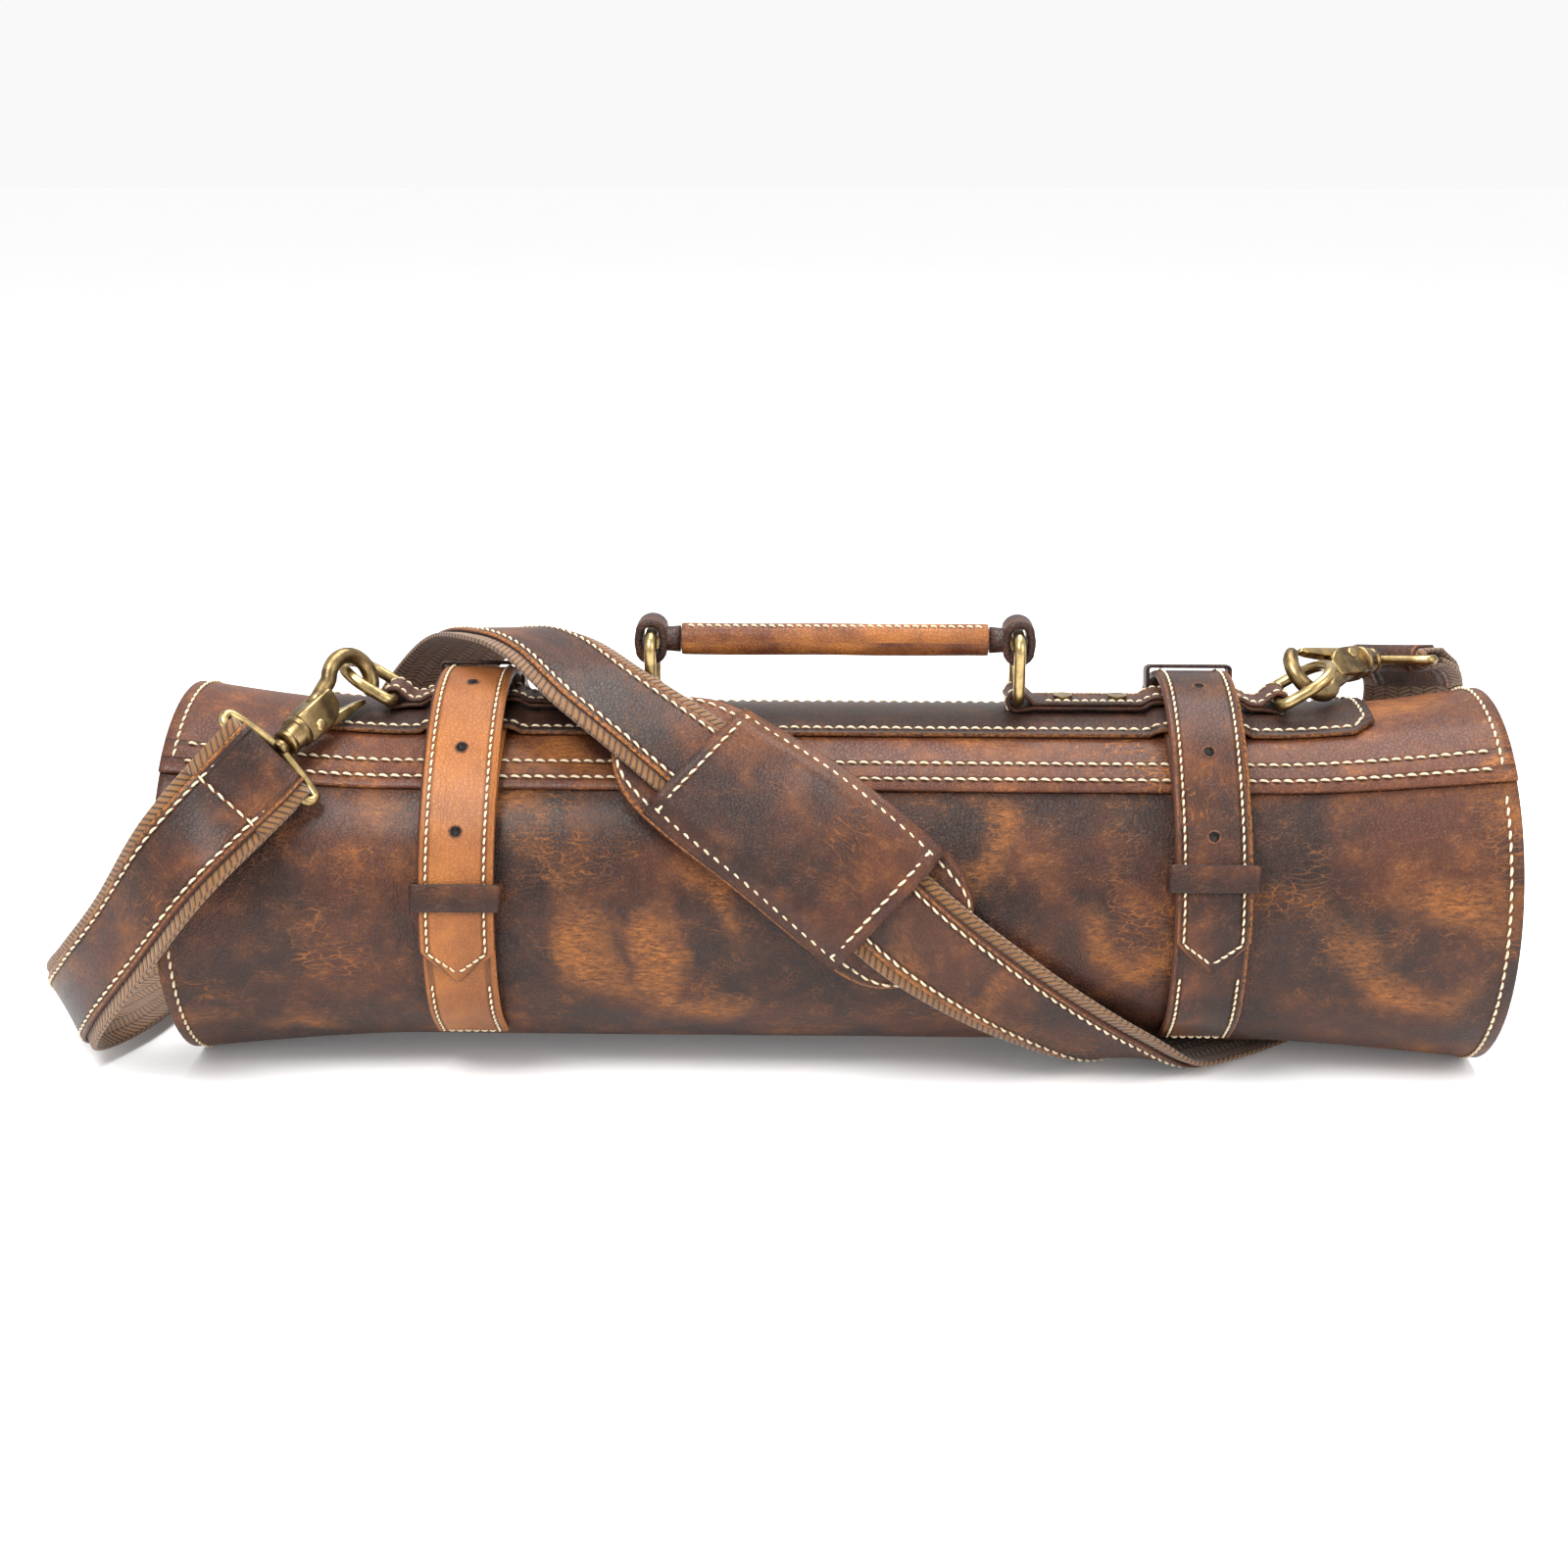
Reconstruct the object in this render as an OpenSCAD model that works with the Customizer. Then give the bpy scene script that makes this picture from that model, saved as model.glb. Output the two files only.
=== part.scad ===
// Leather brush roll case, rolled up and closed, with a carrying handle and a shoulder strap.
// +X runs along the roll to the right, +Y to the back and +Z up; the origin is on the
// ground under the middle of the roll. All sizes are in millimetres and degrees.

/* [Roll] */
// Length of the rolled case
roll_l = 478; // [470:1:490]
// Radius of the roll between its belts
roll_r = 61; // [60:0.5:62]
// How much the ends open out beyond the middle
flare = 7.5; // [4:0.5:9]
// Thickness of the outer leather
leather = 1.8; // [1.4:0.1:2.2]
// Distance from one turn of the roll to the next
turn_pitch = 14; // [12:0.5:15]

/* [Belts] */
// Distance of each belt from the middle of the roll
belt_x = 132; // [128:1:136]
// Width of a belt
belt_w = 27; // [24:0.5:30]
// Width of the small leather loops that hold the belts down
keeper_w = 10; // [8:0.5:12]
// Diameter of the holes in a belt
belt_hole_d = 4; // [3:0.5:5]

/* [Handle] */
// Distance of each handle ring from the middle of the roll
ring_x = 67; // [64:1:70]
// Height of a handle ring between the middles of its bars
ring_h = 23.6; // [22:0.2:25]
// Thickness of the wire of the rings
wire_d = 4.4; // [3.6:0.2:5]
// Diameter of the grip
grip_d = 12; // [10:0.5:13]

/* [Shoulder strap] */
// Width of the webbing
webbing_w = 38; // [34:1:40]
// Width of the leather sewn on the webbing
strip_w = 29; // [24:1:32]
// Width of the shoulder pad
pad_w = 58; // [54:1:62]

/* [Hidden] */
$fn = 48;

gap = 0.3;                     // air between neighbouring pieces
half_l = roll_l / 2;
ground_gap = 4.2;              // the middle of the roll stands this high on its wider ends
axis_z = roll_r + ground_gap;
flare_x = 160;                 // the roll is straight out to here
settle = 1.8;                  // the wide ends are pressed flat on the ground this deep
foot_z = 4.8;                  // bottom of the straight part, which the strap passes under
upper_r = roll_r + leather;    // outside of the upper panel, which laps over the lower one
lip_angle = 47;                // front edge of the upper panel, up from straight ahead
closing_angle = 225;           // free edge of the case, low at the back

patch_l = 390;
patch_angle = 20;              // half of the arc that the top patch covers
patch_t = 1.8;
patch_r = upper_r + gap;
bump_r = upper_r + 2.8;        // inside of the patch where it climbs over a belt

base_t = 2.2;
tail_t = 2.6;
base_low_r = roll_r + 4;
tail_low_r = base_low_r + base_t + gap;
tail_top_r = upper_r + 12.4;
keeper_t = 1.4;

ring_strap_w = 15;
ring_strap_t = 3.4;
ring_strap_z = axis_z + patch_r + patch_t + 0.9;
ring_bar_z = ring_strap_z + 3.4;
d_ring_x = 162;
wire_r = wire_d / 2;
ring_w = 23;                   // handle ring between the middles of its upright bars
loop_z = ring_bar_z + ring_h - 2.2;
grip_end = 58;

webbing_t = 2.2;
strip_t = 1.6;
strap_t = webbing_t + strip_t;

// Snap hook, along its own +Z from the swivel to the nose, opening towards -X
collar_r = 5.2;
block_z = 9;
block_l = 19;
bend_z = 39;
bend_r = 10;
hook_wire = 3;
pivot = [-2.5, 15];
left_hook = [[-194.1, -44.4, 127], [20.2, 35.6, 16.1], [0.78, -0.56, 0.26]];
right_hook = [[204.2, 34.5, 140.6], [-31.9, -30.2, 3], [0.53, -0.49, 0.69]];

// Route of the shoulder strap's middle: place, then the way that its leather face looks.
// A wrap() stretch lies on the roll: distance along it, angle up from straight ahead, radius.
function wrap(x, a, r) =
    [[x, -r * cos(a), axis_z + r * sin(a)], [0, -cos(a), sin(a)]];
ROUTE = [
    [[-202, -55.3, 120], [0.24, -0.89, 0.35]],
    [[-228, -74, 94], [-0.2, -0.85, 0.4]],
    [[-252, -68, 62], [-0.5, -0.8, 0.3]],
    [[-272, -54, 37], [-0.7, -0.65, 0]],
    [[-283, -31, 20], [-0.8, -0.2, -0.55]],
    [[-277, -3, 9], [-0.2, 0.1, -0.97]],
    [[-268, 29, 6], [0, 0.15, -0.98]],
    [[-238, 62, 16], [-0.1, 0.6, -0.8]],
    [[-210, 84, 42], [-0.1, 0.97, -0.3]],
    [[-186, 88, 78], [-0.1, 0.99, 0.1]],
    [[-164, 76, 115], [-0.1, 0.8, 0.6]],
    [[-142, 50, 143], [-0.1, 0.5, 0.85]],
    [[-122, 20, 153], [-0.05, 0.2, 0.98]],
    wrap(-104, 88, 88), wrap(-84, 72, 83), wrap(-60, 59, 75.5),
    wrap(-38, 46, 70.2), wrap(-15, 32, 68.8), wrap(8, 16, 68.8), wrap(31, -1, 68.4),
    wrap(54, -17, 66.6), wrap(77, -33, 66.4), wrap(100, -49, 67.6),
    [[121, -27, 4.6], [0, -0.1, -1]],
    [[140, -12, 2.5], [0, 0, -1]],
    [[160, 4, 2.4], [0, 0, -1]],
    [[180, 22, 2.4], [0, 0, -1]],
    [[196, 42, 5], [0, 0.2, -0.98]],
    [[207, 62, 14], [0, 0.7, -0.7]],
    [[215, 77, 36], [0.1, 0.95, -0.3]],
    [[223, 84, 66], [0.1, 1, 0]],
    [[228, 83, 86], [0.12, 0.97, 0.2]],
    [[230, 76, 105], [0.15, 0.9, 0.4]],
    [[229, 66, 122], [0.15, 0.7, 0.7]],
    [[224, 55, 133], [0.05, 0.4, 0.9]],
    [[216.4, 46.1, 139.4], [-0.06, 0.16, 0.98]]
];
pad_mid = 17;                  // the pad's middle is at this point of the route

// ---- small helpers -------------------------------------------------------------

function unit(v) = v / norm(v);
function ease(x) = pow(max(0, (abs(x) - flare_x) / (half_l - flare_x)), 1.4);
function shell_r(x) = roll_r + flare * ease(x);
function shell_z(x) = shell_r(x) + ground_gap * (1 - ease(x)) - settle * ease(x);
function rest_z(x) = foot_z * min(1, max(0, (half_l - 12 - abs(x)) / 14));
function skin(x, a, k) =
    [x, -(shell_r(x) + k) * cos(a), max(shell_z(x) + (shell_r(x) + k) * sin(a), rest_z(x) - k)];
// Smooth curve through a list of [place, value] knots, level at each knot.
function through(knots, a, i = 0) = i > len(knots) - 2 ? knots[len(knots) - 1][1]
    : a > knots[i + 1][0] ? through(knots, a, i + 1)
    : let (t = max(0, (a - knots[i][0]) / (knots[i + 1][0] - knots[i][0])))
        knots[i][1] + (knots[i + 1][1] - knots[i][1]) * (1 - cos(180 * t)) / 2;

// A closed solid through equal rings of points. The second half of a ring runs back along
// the first, so point j lies across the thickness from point n - 1 - j.
module loft(rings) {
    n = len(rings[0]);
    last = len(rings) - 1;
    points = [for (ring = rings) for (p = ring) p];
    sides = [
        for (i = [0 : last - 1]) for (j = [0 : n - 1])
            let (p = i * n + j, q = i * n + (j + 1) % n, d = j < n / 2 ? p : q)
            for (f = [[p, q, j < n / 2 ? q + n : p + n], [d, q + n, p + n]]) f
    ];
    first = [for (j = [0 : n / 2 - 2]) [j, n - 1 - j, n - 2 - j, j + 1]];
    ends = [for (q = first) for (f = [[q[0], q[1], q[2]], [q[0], q[2], q[3]]]) f];
    others = [for (f = ends) [f[2], f[1], f[0]] + [1, 1, 1] * last * n];
    polyhedron(points, concat(sides, ends, others), convexity = 8);
}

// Outline in the plane across the roll: an arc of leather whose inner radius follows a list.
module arc_strip(radii, angles, t) {
    inner = [for (i = [0 : len(angles) - 1])
        [-radii[i] * cos(angles[i]), radii[i] * sin(angles[i])]];
    outer = [for (i = [len(angles) - 1 : -1 : 0])
        [-(radii[i] + t) * cos(angles[i]), (radii[i] + t) * sin(angles[i])]];
    polygon(concat(inner, outer));
}

// Stands an outline of the plane across the roll on the roll's axis, w wide about x.
module across(x, w) {
    translate([x - w / 2, 0, axis_z]) rotate([90, 0, 90]) linear_extrude(w) children();
}

// A plain sector of a tube round the roll, from angle a0 to a1.
module sector(x, w, r, t, a0, a1) {
    translate([x - w / 2, 0, axis_z]) rotate([0, 90, 0]) rotate([0, 0, -90 - a1])
        rotate_extrude(angle = a1 - a0) translate([r, 0]) square([t, w]);
}

// Puts +Z along direction a and +Y as near to direction m as it can, at p.
module aim(p, a, m) {
    z = unit(a);
    x = unit(cross(m, z));
    y = cross(z, x);
    multmatrix([[x[0], y[0], z[0], p[0]], [x[1], y[1], z[1], p[1]], [x[2], y[2], z[2], p[2]]])
        children();
}

// A straight round bar between two points.
module bar(p, q, r) {
    aim(p, q - p, abs(unit(q - p)[1]) > 0.9 ? [1, 0, 0] : [0, 1, 0]) cylinder(r = r, h = norm(q - p));
}

// Part of a round wire ring in the XZ plane.
module bend(at, ring_r, r, a0, a1) {
    translate([at[0], 0, at[1]]) rotate([90, 0, 0]) rotate([0, 0, a0])
        rotate_extrude(angle = a1 - a0) translate([ring_r, 0]) circle(r = r);
}

// A rounded rectangle of wire in the XZ plane, w by h between the middles of its bars.
module wire_frame(w, h, corner, r) {
    x = w / 2 - corner;
    z = h / 2 - corner;
    for (s = [-1, 1]) {
        translate([-x, 0, s * h / 2]) rotate([0, 90, 0]) cylinder(r = r, h = 2 * x);
        translate([s * w / 2, 0, -z]) cylinder(r = r, h = 2 * z);
    }
    for (c = [[1, 1, 0], [-1, 1, 90], [-1, -1, 180], [1, -1, 270]])
        bend([c[0] * x, c[1] * z], corner, r, c[2], c[2] + 90);
}

// ---- the shoulder strap's route ------------------------------------------------

function spline(p0, p1, p2, p3, t) =
    0.5 * (2 * p1 + (p2 - p0) * t + (2 * p0 - 5 * p1 + 4 * p2 - p3) * t * t
        + (3 * p1 - p0 - 3 * p2 + p3) * t * t * t);
function route(u, k) = let (n = len(ROUTE) - 1, i = min(floor(u), n - 1))
    spline(ROUTE[max(i - 1, 0)][k], ROUTE[i][k], ROUTE[i + 1][k], ROUTE[min(i + 2, n)][k], u - i);
function heading(u) =
    unit(route(min(u + 0.01, len(ROUTE) - 1), 0) - route(max(u - 0.01, 0), 0));
function side(u) = unit(cross(heading(u), route(u, 1)));
function face(u) = cross(side(u), heading(u));

// One cross section of a flat band: w wide, from height k0 to k1 above the route's middle.
// Bands of different widths share the same places across, so their faces stay parallel.
HALVES = [strip_w / 2, webbing_w / 2, pad_w / 2];
function band(u, w, k0, k1) = let (
    p = route(u, 0), s = side(u), f = face(u),
    half = [for (x = HALVES) if (x < w / 2 + gap) x],
    xs = concat([for (i = [len(half) - 1 : -1 : 0]) -half[i]], [0], half),
    last = len(xs) - 1
) concat([for (x = xs) p + s * x + f * k0], [for (i = [last : -1 : 0]) p + s * xs[i] + f * k1]);

// A band along part of the route; every band has its cross sections at the same places.
STEP = 0.5;
module strap_band(u0, u1, w, k0, k1) {
    loft([for (i = [0 : (u1 - u0) / STEP]) band(u0 + i * STEP, w, k0, k1)]);
}

// ---- the roll ------------------------------------------------------------------

STATIONS = [1, 0.955, 0.9, 0.84, 0.78, 0.72, 0.67];
ROLL_X = concat([for (s = STATIONS) -s * half_l],
                [for (i = [len(STATIONS) - 1 : -1 : 0]) STATIONS[i] * half_l]);

module shell(a0, a1, k0, k1) {
    steps = ceil((a1 - a0) / 5);
    loft([for (x = ROLL_X) concat(
        [for (i = [0 : steps]) skin(x, a0 + (a1 - a0) * i / steps, k0)],
        [for (i = [steps : -1 : 0]) skin(x, a0 + (a1 - a0) * i / steps, k1)]
    )]);
}

module upper_panel() {
    color("#8a4a22") shell(lip_angle, closing_angle - 1, leather, 0.1);
}

module lower_panel() {
    color("#4a2416") shell(closing_angle - 359, lip_angle + 6, 0, -leather);
}

// One sheet of the rolled inside, from its outer end inwards.
module spiral(l, inset, t, turns) {
    steps = round(turns * 40);
    angles = [for (i = [0 : steps]) closing_angle + 8 + turns * 360 * i / steps];
    radii = [for (a = angles)
        roll_r - leather - inset - turn_pitch * (a - closing_angle) / 360];
    across(0, l) arc_strip(radii, angles, t);
}

module inner_wrap() {
    color("#6b3a20") spiral(roll_l - 14, 3.2, 2.6, 2.9);
}

module pocket_panel() {
    color("#9a6a3c") spiral(roll_l - 34, 6.2, 2.4, 2.6);
}

module cover_flap() {
    color("#5a3422") spiral(roll_l - 24, 8.2, 1.4, 2.3);
}

// The patch climbs over the two belts, and its corners are cut off.
module top_patch() {
    climb = [[belt_x - belt_w / 2 - 5.5, 0], [belt_x - belt_w / 2 - 1, 1],
             [belt_x + belt_w / 2 + 1, 1], [belt_x + belt_w / 2 + 5.5, 0]];
    right = [0, 90, 112.5, 114.5, 116.5, 147.5, 149.5, 151.5, 165, 180, patch_l / 2 - 8, patch_l / 2];
    xs = concat([for (i = [len(right) - 1 : -1 : 1]) -right[i]], right);
    steps = 8;
    color("#3a1e14") loft([for (x = xs) let (
        k = leather + gap + (bump_r - patch_r) * through(climb, abs(x)),
        half = patch_angle - 6 * max(0, (abs(x) - patch_l / 2 + 8) / 8)
    ) concat([for (i = [0 : steps]) skin(x, 90 - half + 2 * half * i / steps, k + patch_t)],
             [for (i = [steps : -1 : 0]) skin(x, 90 - half + 2 * half * i / steps, k)])]);
}

// ---- the two straps that hold the rings ----------------------------------------

// Outline seen from the front: a double strap with a loop at each end, humped over the belt.
module ring_strap_outline() {
    hump = bump_r - patch_r;
    top = ring_strap_t;
    from = ring_x;
    to = d_ring_x;
    difference() {
        union() {
            translate([from, 0]) square([to - from, top]);
            translate([belt_x - belt_w / 2 - 7, 0]) square([belt_w + 14, top + hump]);
            for (x = [from, to]) translate([x, 3.4]) circle(r = 4.6);
        }
        translate([belt_x - belt_w / 2 - 5, -1]) square([belt_w + 10, 1 + hump]);
        for (x = [from, to]) translate([x, 3.4]) circle(r = wire_r + 0.25);
        translate([from - 6, -3]) square([to - from + 12, 3]);
    }
}

module ring_strap(s) {
    color("#5a3020") mirror([s < 0 ? 1 : 0, 0, 0])
        translate([0, ring_strap_w / 2, ring_strap_z]) rotate([90, 0, 0])
            linear_extrude(ring_strap_w) ring_strap_outline();
}

// Three flat rivets through each ring strap, with heads on top.
module rivets(s) {
    color("#8a7a55") for (x = [84, 104])
        translate([s * x, 0, ring_strap_z + ring_strap_t]) cylinder(d = 7, h = 1.1);
}

// ---- the belts -----------------------------------------------------------------

function steps_of(a0, a1) = [for (i = [0 : round((a1 - a0) / 3)])
    a0 + (a1 - a0) * i / round((a1 - a0) / 3)];
// How far each layer lies from the roll's axis, by the angle up from straight ahead.
BASE = [[-50, roll_r + gap], [-25, base_low_r], [38, base_low_r], [62, upper_r + 0.2],
        [112, upper_r + 0.2], [121, upper_r + 4], [125, upper_r + 4]];
TAIL = [[-30, tail_low_r], [35, tail_low_r], [92, tail_top_r], [124, upper_r + 10.5],
        [143, upper_r + 2.2], [170, upper_r + 0.4], [230, upper_r + 0.4]];

module belt_base(s) {
    angles = steps_of(-50, 125);
    color(s < 0 ? "#a8602c" : "#4a2616") across(s * belt_x, belt_w - 0.6)
        arc_strip([for (a = angles) through(BASE, a)], angles, base_t);
}

module belt_tail(s) {
    angles = steps_of(-19.3, 228);
    tip = s < 0 ? 46 : 52;
    color(s < 0 ? "#b0662e" : "#4e2817") difference() {
        intersection() {
            across(s * belt_x, belt_w)
                arc_strip([for (a = angles) through(TAIL, a)], angles, tail_t);
            union() {
                translate([s * belt_x - belt_w, 0, -1]) cube([2 * belt_w, 200, 200]);
                translate([s * belt_x, 0, tip]) rotate([90, 0, 0]) linear_extrude(200)
                    polygon([[-1, 0], [1, 0], [belt_w / 2 - 1, 12], [belt_w / 2, 14],
                             [belt_w / 2, 150], [-belt_w / 2, 150], [-belt_w / 2, 14],
                             [-belt_w / 2 + 1, 12]]);
            }
        }
        for (a = [30, 56, 82]) translate([s * belt_x, 0, axis_z]) rotate([-a, 0, 0])
            translate([0, -60, 0]) rotate([90, 0, 0]) cylinder(d = belt_hole_d, h = 30);
        at_buckle(s) translate([-3, -9, -6]) cube([6, 18, 21]);
    }
}

// Loop of leather round both layers of a belt, about angle a, from radius r0 to r1 inside.
module keeper(x, a, wide, r0, r1, w) {
    half = w / 2 / r0 * 180 / PI;
    difference() {
        sector(x, wide, r0 - keeper_t, r1 - r0 + 2 * keeper_t, a - half, a + half);
        sector(x, wide - 2 * keeper_t, r0, r1 - r0, a - half - 2, a + half + 2);
    }
}

module front_keeper(s) {
    color("#4a2818") keeper(s * belt_x, s < 0 ? 11 : 18, belt_w + 5,
        base_low_r - gap, tail_low_r + tail_t + gap, keeper_w);
}

module top_keeper(s) {
    color("#3f2216") keeper(s * belt_x, 103, belt_w + 5,
        bump_r + patch_t + 3.9, tail_top_r + tail_t + 0.5, keeper_w);
}

BUCKLE_A = 137;                // middle of the buckle, on the back of the roll
buckle_r = 69.2;
buckle_h = 22;

// Turns a buckle, drawn flat in XZ with its hinge bar below, onto the back of the roll.
module at_buckle(s) {
    translate([s * belt_x, 0, axis_z]) rotate([90 - BUCKLE_A, 0, 0])
        translate([0, 0, buckle_r]) rotate([90, 0, 0]) children();
}

module buckle_frame(s) {
    color("#a08a50") at_buckle(s) wire_frame(belt_w + 7, buckle_h, 3.5, 1.6);
}

// The prong has an eye round the hinge bar and lies across the belt on the far bar.
module buckle_prong(s) {
    color("#a08a50") at_buckle(s) {
        translate([-2, 0, buckle_h / 2]) rotate([0, 90, 0]) difference() {
            cylinder(r = 3, h = 4);
            translate([0, 0, -1]) cylinder(r = 1.65, h = 6);
        }
        bar([0, 3, buckle_h / 2 + 1], [0, 3, -buckle_h / 2 - 2], 1.2);
    }
}

// ---- the handle ----------------------------------------------------------------

module handle_core() {
    color("#8a6a48") translate([-grip_end + 2, 0, loop_z]) rotate([0, 90, 0])
        cylinder(d = grip_d - 5, h = 2 * grip_end - 4);
}

module handle_grip() {
    color("#9a5526") translate([-grip_end + 2, 0, loop_z]) rotate([0, 90, 0]) difference() {
        cylinder(d = grip_d, h = 2 * grip_end - 4);
        translate([0, 0, -1]) cylinder(d = grip_d - 5, h = 2 * grip_end);
    }
}

// Thick leather eye that joins the grip to a ring, a slot across the handle.
module handle_loop(s) {
    w = 14;
    color("#3a2018") translate([s * ring_x, w / 2, loop_z]) rotate([90, 0, 0]) linear_extrude(w)
        difference() {
            union() {
                for (z = [-2.4, 2.4]) translate([0, z]) circle(r = 6.2);
                translate([-6.2, -2.4]) square([12.4, 4.8]);
                translate([s > 0 ? 2.9 - (ring_x - grip_end) - 2.9 : 0, -4.5])
                    square([ring_x - grip_end, 9]);
            }
            for (z = [-2.4, 2.4]) translate([0, z]) circle(r = 3);
            translate([-3, -2.4]) square([6, 4.8]);
        }
}

module handle_ring(s) {
    color("#b0944a") translate([s * ring_x, 0, ring_bar_z + ring_h / 2]) rotate([0, 0, 90])
        wire_frame(ring_w, ring_h, 5, wire_r);
}

// ---- the D-rings and snap hooks ------------------------------------------------

D_LEG = 10;
D_R = 12.5;
D_TILT = 31.5;                 // how far the D-rings stand up from lying flat

// Drawn in the XZ plane with its bar along X at the bottom, then laid over to the outside.
module d_ring(s) {
    color("#b8a060") translate([s * d_ring_x, 0, ring_bar_z]) rotate([0, s * (90 - D_TILT), 0])
        rotate([0, 0, 90]) {
            translate([-D_R + 3, 0, 0]) rotate([0, 90, 0]) cylinder(r = wire_r, h = 2 * D_R - 6);
            for (e = [-1, 1]) translate([e * D_R, 0, 3]) cylinder(r = wire_r, h = D_LEG - 3);
            bend([0, D_LEG], D_R, wire_r, 0, 180);
            bend([D_R - 3, 3], 3, wire_r, 270, 360);
            bend([3 - D_R, 3], 3, wire_r, 180, 270);
        }
}

module at_hook(s) {
    h = s < 0 ? left_hook : right_hook;
    aim(h[0], h[1], h[2]) children();
}

// Flat triangle of wire that the strap folds round, with the swivel's post at its point.
module swivel_eye(s) {
    half = webbing_w / 2 + 2.5;
    turn = s < 0 ? -25 : 55;
    color("#9a8448") at_hook(s) rotate([0, 0, turn]) {
        bar([-half, 0, -11], [half, 0, -11], 1.9);
        for (e = [-1, 1]) {
            bar([e * half, 0, -11], [e * 3, 0, -2.6], 1.9);
            translate([e * half, 0, -11]) sphere(r = 1.9);
        }
        translate([0, 0, -3.2]) cylinder(r = 3.2, h = 2.9);
        translate([0, 0, -0.4]) cylinder(r = 2.4, h = 8.4);
    }
}

module hook_body(s) {
    color("#8f7a42") at_hook(s) difference() {
        union() {
            cylinder(r = collar_r, h = 7);
            translate([0, 0, 6.9]) cylinder(r = 6.2, h = 2.2);
            translate([-6, -4.2, block_z]) cube([12, 8.4, block_l]);
            bend([0.5, bend_z], bend_r, hook_wire, -52, 150);
            bar([5, 0, 22], [6.6, 0, bend_z - 7.8], hook_wire);
        }
        translate([0, 0, -1]) cylinder(r = 2.5, h = 9.4);
        translate([-20, -2.6, block_z + 2.5]) cube([21, 5.2, block_l + 2]);
        translate([pivot[0], 10, pivot[1]]) rotate([90, 0, 0]) cylinder(r = 1.55, h = 20);
    }
}

// Sprung lever that closes the hook; it turns inwards about the pin.
module hook_gate(s) {
    tip = [0.5 + (bend_r - 1.2) * cos(166), bend_z + (bend_r - 1.2) * sin(166)];
    color("#a89058") at_hook(s) translate([0, 2.2, 0]) rotate([90, 0, 0]) linear_extrude(4.4)
        difference() {
            union() {
                translate(pivot) circle(r = 2.8);
                polygon([pivot + [-2.8, 0], pivot + [2, 2], tip + [0.9, -2.2], tip + [-2, -1.4]]);
            }
            translate(pivot) circle(r = 1.55);
        }
}

module gate_pin(s) {
    color("#6e6040") at_hook(s) translate([pivot[0], 4.6, pivot[1]]) rotate([90, 0, 0])
        cylinder(r = 1.5, h = 9.2);
}

// ---- the shoulder strap --------------------------------------------------------

module strap_webbing() {
    color("#8a6238") strap_band(0, len(ROUTE) - 1, webbing_w, -strap_t / 2,
        strap_t / 2 - strip_t - 0.15);
}

module strap_leather() {
    color("#5a2c1a") strap_band(0, len(ROUTE) - 1, strip_w, strap_t / 2 - strip_t + 0.1,
        strap_t / 2);
}

module pad_base() {
    color("#6a3a20") strap_band(pad_mid - 2.5, pad_mid + 2.5, pad_w, -strap_t / 2 - 3.2,
        -strap_t / 2 - 0.4);
}

// The sleeve bridges the strap and is sewn down to the base along both its sides.
module pad_sleeve() {
    half = [strip_w / 2, webbing_w / 2 + 0.6, pad_w / 2];
    low = -strap_t / 2 - 0.2;
    under = strap_t / 2 + 0.3;
    inside = [[-half[1], low], [-half[1], under], [-half[0], under], [0, under],
              [half[0], under], [half[1], under], [half[1], low]];
    outside = [[half[2], low], [half[2], under + 1.8], [half[0], under + 1.8], [0, under + 1.8],
               [-half[0], under + 1.8], [-half[2], under + 1.8], [-half[2], low]];
    color("#4a2818") loft([for (u = [pad_mid - 1.5 : STEP : pad_mid + 1.5])
        [for (q = concat(inside, outside)) route(u, 0) + side(u) * q[0] + face(u) * q[1]]]);
}

// ---- one line per node ---------------------------------------------------------

upper_panel();
lower_panel();
inner_wrap();
pocket_panel();
cover_flap();
top_patch();
ring_strap(-1);  // ring_strap_left
ring_strap(1);  // ring_strap_right
rivets(-1);  // rivets_left
rivets(1);  // rivets_right
belt_base(-1);  // belt_base_left
belt_base(1);  // belt_base_right
belt_tail(-1);  // belt_tail_left
belt_tail(1);  // belt_tail_right
front_keeper(-1);  // front_keeper_left
front_keeper(1);  // front_keeper_right
top_keeper(-1);  // top_keeper_left
top_keeper(1);  // top_keeper_right
buckle_frame(-1);  // buckle_frame_left
buckle_frame(1);  // buckle_frame_right
buckle_prong(-1);  // buckle_prong_left
buckle_prong(1);  // buckle_prong_right
handle_core();
handle_grip();
handle_loop(-1);  // handle_loop_left
handle_loop(1);  // handle_loop_right
handle_ring(-1);  // handle_ring_left
handle_ring(1);  // handle_ring_right
d_ring(-1);  // d_ring_left
d_ring(1);  // d_ring_right
swivel_eye(-1);  // swivel_eye_left
swivel_eye(1);  // swivel_eye_right
hook_body(-1);  // hook_body_left
hook_body(1);  // hook_body_right
hook_gate(-1);  // hook_gate_left
hook_gate(1);  // hook_gate_right
gate_pin(-1);  // gate_pin_left
gate_pin(1);  // gate_pin_right
strap_webbing();
strap_leather();
pad_base();
pad_sleeve();
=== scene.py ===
import math

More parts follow.
